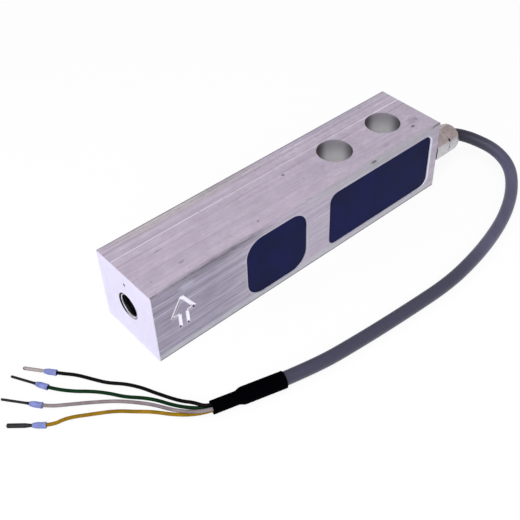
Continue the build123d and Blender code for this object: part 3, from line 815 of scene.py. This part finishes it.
def make_smudge():
    """Rubbed spot with a ragged border: the distance from its centre over its size, which is given
    along each axis, is changed by noise before it fades out."""
    group, source, result = effect(
        "smudge", {"Place": None, "Centre": None, "Size": None, "Raggedness": 1.4}, ["Mask"]
    )
    offset = vector_calc("SUBTRACT", source["Place"], source["Centre"])[0]
    scaled = vector_calc("DIVIDE", offset, source["Size"])[0]
    reach = vector_calc("LENGTH", scaled)["Value"]
    uneven = calc("SUBTRACT", noise(source["Place"], 1.1, 4.0, 0.7), 0.5)
    ragged = calc("MULTIPLY", uneven, source["Raggedness"])
    set_inputs(result, {"Mask": fade(calc("ADD", reach, ragged), 1.0, 0.25)})
    return group


tool_lines = make_tool_lines()
rounded_outline = make_rounded_outline()
smudge = make_smudge()
uneven_tone = make_uneven_tone()
specks = make_specks()


def cloudy(place, scale):
    """Mask of soft patches."""
    return use_effect(uneven_tone, place=place, patch_scale=scale)["Patches"]


def speckled(place, density, size, rarity):
    """Mask of scattered specks."""
    return use_effect(specks, place=place, density=density, size=size, rarity=rarity)["Mask"]


def smudged(place, spots, raggedness=1.4):
    """Mask of rubbed spots, each with its centre, size and darkness."""
    return largest(*(
        product(
            use_effect(smudge, place=place, centre=centre, size=size, raggedness=raggedness)["Mask"],
            darkness,
        )
        for centre, size, darkness in spots
    ))


def new_material(name):
    """Material with its shader, and the object's own coordinates in millimetres."""
    material = bpy.data.materials.new(name)
    material.use_nodes = True
    tree = material.node_tree
    coordinates = tree.nodes.new("ShaderNodeTexCoord").outputs["Object"]
    place = vector_calc("MULTIPLY", coordinates, (1 / MM, 1 / MM, 1 / MM))[0]
    return material, tree.nodes["Principled BSDF"], place


def lines_along(place, x, y, z):
    """Tool lines, with the noise's frequency along each axis."""
    return use_effect(tool_lines, place=place, stretch=(x, y, z))


def bump(shader, height, strength, distance):
    """Small relief from a height, with the distance in millimetres."""
    inputs = {"Height": height, "Strength": strength, "Distance": distance * MM}
    set_inputs(shader, {"Normal": add_node("ShaderNodeBump", inputs).outputs["Normal"]})


def axes_of(place):
    """The three coordinates of a place."""
    return add_node("ShaderNodeSeparateXYZ", {"Vector": place}).outputs


def distance_to(first, second, centre):
    """Distance in a plane, of two coordinates from a centre."""
    squares = [
        calc("POWER", calc("SUBTRACT", value, middle), 2.0)
        for value, middle in zip((first, second), centre)
    ]
    return calc("SQRT", calc("ADD", *squares))


# Materials. Places and sizes are in millimetres, in the frame of the beam

HALF_LENGTH = 67.5
HALF_WIDTH = 15.0
HEIGHT = 30.0
# How far inside the faces the bored walls begin
MARGIN = 0.3
HOLE_XS = (51.5, 26.1)
HOLE_R = 6.75
# Seat round the thread insert, where a shadow is painted, darkest on its upper side
SEAT_R = 5.18
# Sideways direction in which painted shade darkens the wall of each clearance hole, and how far
# the shade's middle lies from the hole's axis
BORE_SHADE_SIDE = (0.773, -0.634)
BORE_SHADE_OFFSET = 0.8
# Punched dot on the load end: place across the beam, height
DIMPLE = (-0.1, 25.0)
# Drilled ends of the arrow's strokes, with painted shade in them: place along the beam, height, darkness
ARROW_DOTS = ((-51.6, 15.4, 1.0), (-60.4, 15.4, 0.6), (-57.7, 9.6, 0.95), (-54.5, 9.6, 0.95))
ARROW_MIDDLE = -56.15
ARROW_LEFT_SLOPE = ((-60.75, 15.75), (-56.15, 23.2))
ARROW_BOX = ((-62.5, -50.0), (8.5, 25.0))
# Long lines on the top face: place across the beam, half width, strength
PALE_TOP_LINES = ((6.8, 0.17, 1.0), (9.9, 0.08, 0.6), (12.4, 0.09, 0.6), (-1.6, 0.06, 0.25))
DARK_TOP_LINES = (
    (7.4, 0.12, 0.35), (3.4, 0.18, 0.40), (11.2, 0.16, 0.5), (-5.2, 0.14, 0.25), (14.7, 0.25, 0.7)
)
# Long lines on the front face: height, half width, strength
PALE_FRONT_LINES = ((20.6, 0.1, 0.6), (25.2, 0.08, 0.4), (12.6, 0.07, 0.3))
DARK_FRONT_LINES = ((17.6, 0.22, 0.32), (22.6, 0.3, 0.35), (10.4, 0.16, 0.26), (6.4, 0.12, 0.26))
# Nicks and rubbed spots on the top face: centre, size, darkness
TOP_SPOTS = [
    ((along, across, HEIGHT), (length, width, 1.0), darkness)
    for along, across, length, width, darkness in (
        (31.7, -14.4, 2.1, 0.8, 0.85),
        (58.2, -9.2, 1.4, 0.9, 0.90),
        (60.8, -6.6, 3.6, 2.6, 0.34),
        (62.6, -6.8, 1.0, 0.8, 0.60),
        (2.9, 2.3, 1.0, 0.7, 0.85),
        (-19.7, -10.3, 0.65, 0.5, 0.75),
        (-50.5, -8.5, 1.8, 0.7, 0.42),
        (-62.8, -9.2, 0.7, 0.5, 0.40),
        (-53.1, 0.9, 2.6, 0.6, 0.34),
        (42.2, -10.5, 3.0, 1.1, 0.22),
        (16.7, 12.7, 1.2, 0.3, 0.45),
        (0.4, -13.6, 2.2, 0.4, 0.30),
        (52.4, 12.7, 1.6, 0.3, 0.40),
    )
]
# Painted shade in the gland's seam: centre, size, darkness
GLAND_SEAM_SHADE = (
    ((75.0, -14.6, 18.0), (0.8, 1.0, 1.2), 1.0),
    ((75.2, -15.0, 14.9), (0.45, 0.7, 0.8), 0.8),
    ((75.0, -15.0, 12.2), (0.5, 0.7, 0.6), 0.6),
)
# Pale cloud above the arrow: centre, size, strength
HAZE = ((-53.6, -15.0, 26.6), (4.5, 2.0, 2.4), 0.55)
# Pockets: middle along the beam, half length, half height, corner radius
POCKETS = ((-15.4, 13.7, 12.7, 7.0), (37.15, 26.65, 12.0, 3.6))


def drawn_lines(across, lines, presence):
    """Mask of long thin lines, each at its place across the bar, fading in and out with a noise."""
    return largest(*(
        product(between(across, centre - half, centre + half, 0.09), strength, presence)
        for centre, half, strength in lines
    ))


def beam_skin(place, axes):
    """Drawn skin of the bar: warm and cool bands, fine lengthwise lines, dashes and blots, the long
    pale and dark lines of each face, a greyer far edge, painted shade on the front face, a near edge
    that shows wear, pale borders round the pockets, with a painted highlight at the cable's end, and
    along the lower edge, pits and rubbed spots. Gives coat, height and fine lines."""
    x, y, z = axes
    fine = lines_along(place, 0.04, 1.6, 1.6)
    wide = lines_along(place, 0.007, 0.55, 0.55)
    dashes = fade(lines_along(place, 0.07, 1.5, 1.5)["Fine"], 0.62, 0.95)
    blots = lines_along(place, 0.10, 0.24, 0.24)
    broken = lines_along(place, 0.03, 0.14, 0.14)["Fine"]
    patches, clouds = cloudy(place, 0.05), cloudy(place, 0.16)
    top = fade(z, HEIGHT - 0.15, HEIGHT - 0.05)
    front = fade(y, -HALF_WIDTH + 0.15, -HALF_WIDTH + 0.05)

    def either(top_mask, front_mask):
        """One mask on the top face and another on the front face."""
        return largest(product(top, top_mask), product(front, front_mask))

    # All faces
    coat = Coat(tones(wide["Broad"], (193, 184, 201), (206, 190, 207)))
    coat.lay((178, 175, 188), span(patches, 0.0, 0.35))
    coat.lay((158, 147, 164), fine["Fine"], span(clouds, 0.14, 0.50))
    coat.lay((222, 212, 227), fine["Broad"], span(clouds, 0.42, 0.14))
    coat.lay((132, 122, 138), dashes, patches, 0.32)
    hole_end = span(fade(x, -10.0, 20.0), 0.6, 1.0)
    coat.lay((212, 203, 218), hole_end, blots["Broad"], 0.35)
    coat.lay((166, 156, 172), hole_end, blots["Fine"], 0.42)

    # Far edge of the top face
    far = product(top, fade(y, 10.6, 12.2), fade(x, 14.0, -25.0), fade(x, -70.0, -45.0))
    coat.lay((164, 160, 157), far, 0.45)
    coat.lay((96, 90, 92), far, dashes, 0.8)
    coat.lay((218, 213, 208), far, fine["Broad"], 0.5)
    coat.lay((98, 92, 96), fade(y, 14.35, 14.65), fade(z, HEIGHT - 0.7, HEIGHT - 0.4), 0.7)

    # Front face, with painted shade over it that deepens towards the load end
    coat.lay((140, 137, 152), front, 0.15)
    coat.lay((148, 145, 165), front, fade(x, -18.0, -46.0), 0.75)
    coat.lay((130, 125, 140), front, fade(x, 5.0, -20.0), broken, span(fine["Fine"], 0.15, 0.75))
    coat.lay((124, 116, 130), front, dashes, 0.22)
    coat.lay((206, 200, 214), front, fine["Broad"], 0.25)
    coat.lay((196, 199, 212), smudged(place, [HAZE]))

    # Near edge, on both sides of the arris
    near_edge = either(fade(y, -13.0, -14.4), fade(z, 26.6, 28.6))
    coat.lay((112, 108, 116), near_edge, between(x, -58.0, -22.0, 10.0), fine["Fine"], 0.95)
    coat.lay((172, 177, 177), near_edge, fade(x, -8.0, 14.0), span(patches, 0.35, 0.75))

    # Long lines, which wander a little
    presence = span(wide["Fine"], 0.7, 1.0)
    across = calc("ADD", y, span(wide["Fine"], -0.2, 0.2))
    upward = calc("ADD", z, span(wide["Fine"], -0.12, 0.12))
    for shade, top_lines, front_lines in (
        ((118, 108, 124), DARK_TOP_LINES, DARK_FRONT_LINES),
        ((242, 233, 246), PALE_TOP_LINES, PALE_FRONT_LINES),
    ):
        on_top = drawn_lines(across, top_lines, presence)
        coat.lay(shade, either(on_top, drawn_lines(upward, front_lines, presence)))

    # Borders of the pockets, with a painted highlight on the rim at the cable's end, and of the lower
    # edge
    for middle, half_length, half_height, corner in POCKETS:
        gap = use_effect(
            rounded_outline, across=x, upward=z, centre_across=middle, centre_upward=HEIGHT / 2,
            half_length=half_length, half_height=half_height, corner=corner,
        )["Distance"]
        coat.lay((194, 194, 204), front, fade(gap, 0.9, 0.1), 0.55)
        # Painted highlight on the pocket's rim at the cable's end
        coat.lay((240, 240, 255), front, fade(gap, -0.2, -0.4), fade(x, 58.0, 61.5))
    lower = product(fade(y, -HALF_WIDTH + 0.7, -HALF_WIDTH + 0.4), fade(z, 3.2, 2.6))
    coat.lay((190, 194, 196), lower, span(clouds, 0.35, 0.75))
    coat.lay((88, 83, 94), lower, fade(z, 0.85, 0.55), 0.85)

    # Arris, pits and nicks
    arris = either(fade(y, -14.5, -14.75), fade(z, 29.5, 29.75))
    both_ends = largest(fade(x, -12.0, -34.0), fade(x, 61.0, 65.0))
    coat.lay((94, 88, 98), arris, both_ends, span(clouds, 0.55, 1.0))
    coat.lay((112, 103, 116), speckled(place, 0.42, 0.21, 0.88), largest(top, front), 0.45)
    dark_spots = smudged(place, TOP_SPOTS)
    coat.lay((92, 86, 98), dark_spots)
    return coat, calc("SUBTRACT", fine["Height"], dark_spots), fine["Fine"]


def bore_walls(axes, lines, from_holes):
    """Colour of the bored walls, painted with light and shade: pale deep down, greyer near the mouth,
    dark on two sides.
    """
    x, y, z = axes
    # Painted light deep down in the bores and painted shade near the mouth
    coat = Coat(tones(fade(z, 29.0, 20.0), (152, 149, 156), (252, 251, 253)))
    coat.lay((168, 164, 172), lines, 0.2)
    sides = []
    for hole_x, distance in zip(HOLE_XS, from_holes):
        along_side = calc("MULTIPLY", calc("SUBTRACT", x, hole_x), BORE_SHADE_SIDE[0])
        along_side = calc("ADD", along_side, calc("MULTIPLY", y, BORE_SHADE_SIDE[1]))
        off_middle = calc("ABSOLUTE", calc("SUBTRACT", along_side, BORE_SHADE_OFFSET))
        inside = between(distance, -1.0, HOLE_R + 0.05, 0.02)
        sides.append(product(fade(off_middle, 2.6, 6.9), inside))
    # Painted shade on the two sides of each bore
    coat.lay((50, 46, 52), largest(*sides), 0.92)
    return coat.colour


def milled_ends(place, axes):
    """Colour of the milled ends: pale, with fine level lines, faint specks and one scratch."""
    _, y, z = axes
    milled = lines_along(place, 1.0, 0.9, 0.05)["Fine"]
    coat = Coat(tones(milled, (217, 213, 235), (226, 222, 243)))
    coat.lay((168, 160, 190), speckled(place, 0.24, 0.12, 0.6), 0.3)
    coat.lay((176, 168, 192), between(y, -0.3, -0.1, 0.1), between(z, 22.0, 27.5, 1.0), 0.4)
    return coat.colour


def lay_arrow(coat, axes):
    """Paint the engraved arrow: bright, with painted shade on the inner side of its left slope, on the
    short returns and in the drilled ends. Gives the mask of the engraving."""
    x, y, z = axes
    (low_x, high_x), (low_z, high_z) = ARROW_BOX
    groove = product(
        fade(y, -HALF_WIDTH + 0.02, -HALF_WIDTH + 0.10), fade(y, -14.0, -14.2),
        between(x, low_x, high_x, 0.1), between(z, low_z, high_z, 0.1),
    )
    coat.lay((246, 243, 252), groove)
    (left_x, left_z), (right_x, right_z) = ARROW_LEFT_SLOPE
    slope = np.hypot(right_x - left_x, right_z - left_z)
    along = calc("MULTIPLY", calc("SUBTRACT", x, left_x), (right_z - left_z) / slope)
    upward = calc("MULTIPLY", calc("SUBTRACT", z, left_z), (right_x - left_x) / slope)
    inner_side = between(calc("SUBTRACT", along, upward), 0.30, 0.95, 0.1)
    left_half = fade(x, ARROW_MIDDLE, ARROW_MIDDLE - 0.4)
    coat.lay((92, 85, 98), groove, inner_side, between(z, 16.4, 22.2, 0.3), left_half, 0.85)
    from_middle = calc("ABSOLUTE", calc("SUBTRACT", x, ARROW_MIDDLE))
    returns = product(between(from_middle, 2.0, 3.9, 0.15), between(z, 14.7, 16.6, 0.1))
    coat.lay((166, 160, 172), groove, returns, inverse(between(z, 15.45, 15.95, 0.08)))
    # Painted shade in the drilled ends of the strokes
    dot_shade = [
        product(fade(distance_to(x, z, (dot_x, dot_z)), 0.85, 0.45), darkness)
        for dot_x, dot_z, darkness in ARROW_DOTS
    ]
    coat.lay((40, 34, 48), largest(*dot_shade), groove)
    return groove


def beam_aluminium():
    """Drawn bar with milled pale ends, bored holes painted with light and shade, a painted shadow round
    the thread insert, a painted highlight on the pocket's lip, and a bright engraved arrow with
    painted shade in the drill dots at the ends of its strokes."""
    material, shader, place = new_material("drawn aluminium")
    axes = x, y, z = axes_of(place)
    coat, height, fine = beam_skin(place, axes)

    from_holes = [distance_to(x, y, (hole_x, 0.0)) for hole_x in HOLE_XS]
    deep = between(z, MARGIN, HEIGHT - 0.35, 0.05)
    inside_y = between(y, -HALF_WIDTH + MARGIN, HALF_WIDTH - MARGIN, 0.05)
    inside = product(deep, inside_y, between(x, -HALF_LENGTH + MARGIN, HALF_LENGTH - MARGIN, 0.05))
    holes = largest(*(between(distance, -1.0, HOLE_R + 0.02, 0.02) for distance in from_holes))
    bored = largest(inside, product(holes, deep))
    turned = lines_along(place, 0.05, 0.05, 1.6)["Fine"]
    coat.lay(bore_walls(axes, turned, from_holes), bored)
    # Painted highlight on the pocket's lip, brighter towards the cable's end
    pocket_lip_highlight = product(fade(y, -14.99, -14.95), fade(y, -14.2, -14.4), deep)
    coat.lay(tones(fade(x, 50.0, 61.0), (212, 210, 220), (252, 251, 255)), pocket_lip_highlight)

    end = largest(
        fade(x, -HALF_LENGTH + 0.12, -HALF_LENGTH + 0.02),
        fade(x, HALF_LENGTH - 0.12, HALF_LENGTH - 0.02),
    )
    coat.lay(milled_ends(place, axes), end)
    punched = fade(distance_to(y, z, DIMPLE), 0.75, 0.45)
    coat.lay((70, 62, 78), punched, fade(x, -66.5, -67.0))
    # Painted shadow in the seat round the thread insert, deepest on its upper side
    seat = between(distance_to(y, z, (0.0, HEIGHT / 2)), -1.0, SEAT_R, 0.03)
    upper_shadow = span(fade(calc("ADD", z, y), 10.0, 14.0), 0.1, 1.0)
    seat = product(seat, fade(x, -64.0, -66.0), upper_shadow)
    coat.lay((9, 8, 11), seat)
    groove = lay_arrow(coat, axes)

    plain = largest(end, groove)
    rough = calc("ADD", span(fine, 0.42, 0.52), product(plain, 0.08))
    set_inputs(shader, {
        "Base Color": coat.colour,
        "Roughness": calc("ADD", rough, product(seat, 0.35)),
        "Metallic": product(span(plain, 0.5, 0.15), span(bored, 1.0, 0.2), inverse(seat)),
        "Specular IOR Level": 0.3,
    })
    drawn = inverse(largest(plain, bored))
    bump(shader, product(height, drawn), 0.35, 0.05)
    return material


def lined_metal(name, dark, light, rough, metal=0.9, stretch=(0.6, 0.6, 1.2), relief=0.2,
                patch_scale=None, layers=None):
    """Metal with fine lines and two tones, which follow the lines, or soft patches where their scale
    is given. `layers` paints more on its coat, and may give a metal share of its own."""
    material, shader, place = new_material(name)
    lines = lines_along(place, *stretch)
    tone = lines["Fine"]
    if patch_scale is not None:
        tone = cloudy(place, patch_scale)
    coat = Coat(tones(tone, dark, light))
    if layers is not None:
        metal = layers(place, coat, tone) or metal
    set_inputs(shader, {
        "Base Color": coat.colour,
        "Roughness": span(lines["Fine"], *rough),
        "Metallic": metal,
    })
    bump(shader, lines["Height"], relief, 0.02)
    return material


def shaded_thread(place, coat, _):
    """Thread insert: a bright face, with painted shade on its outer chamfer and over the threads further
    in.
    """
    x, y, z = axes_of(place)
    radius = distance_to(y, z, (0.0, HEIGHT / 2))
    chamfer = product(fade(radius, 4.5, 4.54), fade(x, -67.08, -67.0))
    # Painted shade in the outer chamfer and down the threaded bore
    coat.lay((30, 27, 32), largest(fade(x, -67.02, -66.4), chamfer))


def nickel_painted_reflection(place, coat, patches):
    """Nickel plating over brass: pale on the side flat, with a painted warm brown reflection on the
    upper flats and the dome, brown marks, and painted shade in the seam between the two nuts."""
    _, y, z = axes_of(place)
    brown_reflection = tones(patches, (174, 159, 157), (194, 181, 177))
    # Painted reflection: warm brown on the upper flats and the dome
    coat.lay(brown_reflection, fade(y, -14.95, -14.7), fade(z, 15.0, 17.0))
    coat.lay((120, 102, 88), speckled(place, 0.55, 0.12, 0.86), 0.4)
    # Painted shade in the seam between the two nuts
    coat.lay((30, 24, 26), smudged(place, GLAND_SEAM_SHADE, 0.8))


def crimped_tubes(place, coat, lines):
    """Crimped tubes: the one nearest the beam pale and matt, the others dark."""
    others = fade(axes_of(place)[0], -102.6, -102.9)
    coat.lay(tones(lines, (28, 26, 28), (46, 44, 46)), others)
    return span(others, 0.3, 0.85)


def moulded(name, dark, light, rough, patch_scale=0.15, grain_scale=5.0, relief=0.15, gloss=0.3,
            speck=None, layers=None, sheen=0.0):
    """Plastic, rubber or resin: two tones in soft patches, a grain, and now and then a speck.
    `layers` paints more on its coat."""
    material, shader, place = new_material(name)
    tone = use_effect(uneven_tone, place=place, patch_scale=patch_scale, grain_scale=grain_scale)
    coat = Coat(tones(tone["Patches"], dark, light))
    if speck is not None:
        coat.lay(speck, speckled(place, 0.42, 0.085, 0.68))
    if layers is not None:
        layers(place, coat)
    set_inputs(shader, {
        "Base Color": coat.colour,
        "Roughness": span(tone["Patches"], *rough),
        "Metallic": 0.0,
        "Specular IOR Level": gloss,
        "Sheen Weight": sheen,
    })
    bump(shader, tone["Grain"], relief, 0.04)
    return material


def shaded_jacket(place, coat):
    """Slate jacket, with painted shade where the cable comes out of the gland, and darker near its
    sleeve.
    """
    x, y, z = axes_of(place)
    gland_shade = product(fade(calc("SUBTRACT", x, y), 132.0, 96.0), fade(x, 60.0, 70.0))
    # Painted shade where the cable leaves the gland
    coat.lay((36, 35, 49), gland_shade, fade(z, 8.0, 11.0))
    coat.lay((56, 55, 74), fade(x, 57.0, 30.0), 0.95)


# Materials made by `moulded`: name, dark and light tone, roughness, patch and grain scale, relief,
# gloss, colour of its specks
MOULDED = {
    "potting": ("navy resin", (13, 18, 57), (21, 26, 74), 0.5, 0.06, 3.0, 0.08, 0.05, (88, 94, 140)),
    "shrink": ("heat-shrink tube", (0, 0, 1), (2, 1, 4), 0.7, 0.3, 6.0, 0.25, 0.01),
    "wire_black": ("black insulation", (7, 4, 6), (12, 8, 11), 0.45, 0.4, 8.0, 0.1, 0.05),
    "wire_green": ("green insulation", (6, 36, 14), (12, 48, 22), 0.45, 0.3, 8.0, 0.1, 0.05),
    "wire_white": ("white insulation", (114, 103, 108), (134, 123, 127), 0.45, 0.3, 8.0, 0.1),
    "wire_yellow": ("yellow insulation", (120, 90, 4), (146, 112, 10), 0.45, 0.3, 8.0, 0.1, 0.08),
    "collar": ("moulded collar", (104, 112, 170), (130, 138, 192), 0.5, 0.5, 6.0, 0.1, 0.2),
    "gasket_rubber": ("gasket rubber", (24, 22, 24), (36, 33, 36), 0.7),
    "seal_rubber": ("seal rubber", (24, 23, 24), (34, 32, 34), 0.65),
    "gauge_foil": ("gauge film", (170, 116, 50), (196, 138, 64), 0.4, 0.5, 4.0),
    "lead_enamel": ("lead enamel", (132, 44, 28), (156, 58, 34), 0.3, 0.8, 6.0),
    "insulator": ("insulating sheet", (210, 196, 150), (222, 208, 166), 0.6),
    "board": ("solder mask", (14, 76, 46), (22, 92, 56), 0.35, 0.3, 3.0),
    "chip": ("moulded chip", (22, 22, 25), (32, 32, 36), 0.55, 0.5, 8.0),
    "resistor": ("resistor glaze", (24, 24, 30), (38, 38, 46), 0.3, 0.9, 6.0),
    "capacitor": ("capacitor ceramic", (152, 122, 90), (172, 142, 108), 0.4, 0.9, 6.0),
    "terminal": ("terminal block plastic", (26, 74, 38), (36, 90, 48), 0.45, 0.4, 5.0),
}
materials = {
    slot: moulded(name, dark, light, (rough - 0.04, rough + 0.04), *others)
    for slot, (name, dark, light, rough, *others) in MOULDED.items()
}
materials["beam_aluminium"] = beam_aluminium()
materials["jacket"] = moulded(
    "cable jacket", (74, 72, 95), (83, 81, 106), (0.44, 0.50), 0.12, 7.0, 0.1, 0.28,
    layers=shaded_jacket, sheen=0.15,
)
materials["insert_steel"] = lined_metal(
    "thread steel", (212, 208, 218), (236, 232, 242), (0.3, 0.42), 0.85, (1.4, 0.1, 0.1),
    layers=shaded_thread,
)
materials["gland_nickel"] = lined_metal(
    "nickel plating", (196, 193, 195), (214, 212, 215), (0.26, 0.38), 0.9, (0.9, 0.12, 0.12), 0.12,
    patch_scale=0.28, layers=nickel_painted_reflection,
)
materials["pin"] = lined_metal(
    "crimped tube", (138, 127, 127), (170, 158, 158), (0.34, 0.44), layers=crimped_tubes
)
materials["strands"] = lined_metal("tinned strands", (110, 96, 84), (176, 160, 146), (0.35, 0.45))
materials["solder_tab"] = lined_metal("tinned copper", (176, 150, 110), (206, 186, 150), (0.3, 0.4))

# What each piece replaces, its finish, and the body it rides on

new_pieces = [
    (cable, "jacket", ["cable"]),
    (sleeve, "shrink", ["shrink_sleeve"]),
    (gland_lower, "gland_nickel", ["gland_body"]),
    (gland_dome, "gland_nickel", ["gland_cap"]),
    (threaded_insert, "insert_steel", ["thread_insert"]),
]
for wire_name in WIRE_NAMES:
    new_pieces += [
        (wires[wire_name], f"wire_{wire_name}", [f"wire_{wire_name}"]),
        (collars[wire_name], "collar", [f"ferrule_collar_{wire_name}"]),
        (pins[wire_name], "pin", [f"ferrule_pin_{wire_name}"]),
        (strands[wire_name], "strands", [f"strands_{wire_name}"]),
    ]
replaced = set()
for piece, slot, node_names in new_pieces:
    piece.data.materials.append(materials[slot])
    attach(piece, "root")
    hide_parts(*node_names)
    replaced.update(node_names)

slot_of = {entry["node"]: entry["material_slot"] for entry in frame["record"]["subparts"]}
for node_name, node in nodes.items():
    if node_name not in replaced:
        node.data.materials.clear()
        node.data.materials.append(materials[slot_of[node_name]])

metres(CABLE_ROUTE[0])
for wire_name in WIRE_NAMES:
    metres(wire_points(wire_name)[0])

# Table, light and world

TABLE_HALF = 3.0
WHITE = (1.0, 1.0, 1.0, 1.0)


def make_table():
    """White table: diffuse so that it takes the shadow, and lifted towards white for the camera and
    for what shows in metal."""
    mesh = bpy.data.meshes.new("table")
    corners = [(-1, -1), (1, -1), (1, 1), (-1, 1)]
    mesh.from_pydata([(TABLE_HALF * x, TABLE_HALF * y, 0) for x, y in corners], [], [(0, 1, 2, 3)])
    material = bpy.data.materials.new("white table")
    material.use_nodes = True
    tree = material.node_tree
    tree.nodes.clear()
    rays = tree.nodes.new("ShaderNodeLightPath").outputs
    part_seen = calc("MULTIPLY", rays["Is Glossy Ray"], 0.4)
    seen = largest(rays["Is Camera Ray"], rays["Is Transmission Ray"], part_seen)
    matt = tree.nodes.new("ShaderNodeBsdfDiffuse")
    set_inputs(matt, {"Color": (0.93, 0.93, 0.94, 1.0)})
    glow = tree.nodes.new("ShaderNodeEmission")
    set_inputs(glow, {"Color": WHITE, "Strength": 1.0})
    share = calc("MULTIPLY", seen, 0.88)
    mixed = add_node("ShaderNodeMixShader", {0: share, 1: matt.outputs[0], 2: glow.outputs[0]})
    set_inputs(tree.nodes.new("ShaderNodeOutputMaterial"), {"Surface": mixed.outputs[0]})
    mesh.materials.append(material)
    scene_object("table", mesh)


def make_lamp(name, place, target, size, power):
    """Soft square lamp at a place, turned to a target."""
    lamp = scene_object(name, bpy.data.lights.new(name, "AREA"))
    lamp.data.shape = "SQUARE"
    lamp.data.size = size
    lamp.data.energy = power
    lamp.location = place
    lamp.rotation_euler = (Vector(target) - Vector(place)).to_track_quat("-Z", "Y").to_euler()


def make_world():
    """White for the camera; for everything else a soft room, paler overhead than near the table."""
    world = bpy.data.worlds.new("soft room")
    bpy.context.scene.world = world
    world.use_nodes = True
    tree = world.node_tree
    tree.nodes.clear()
    direction = tree.nodes.new("ShaderNodeTexCoord").outputs["Generated"]
    height = axes_of(direction)[2]
    room = paint(fade(height, -0.1, 0.8), (0.46, 0.455, 0.475, 1), (0.66, 0.65, 0.67, 1))
    rays = tree.nodes.new("ShaderNodeLightPath").outputs
    colour = paint(rays["Is Camera Ray"], room, WHITE)
    background = add_node("ShaderNodeBackground", {"Color": colour, "Strength": 1.0})
    set_inputs(tree.nodes.new("ShaderNodeOutputWorld"), {"Surface": background.outputs[0]})


make_table()
make_world()
make_lamp("key lamp", (-0.28, -0.26, 0.60), (0.0, 0.0, 0.01), 0.25, 2.0)
make_lamp("side lamp", (-0.55, -0.20, 0.30), (-0.02, 0.0, 0.01), 0.5, 1.25)
make_lamp("front lamp", (0.10, -0.60, 0.40), (0.0, 0.0, 0.01), 0.5, 0.25)
bpy.context.scene.view_settings.view_transform = "Standard"
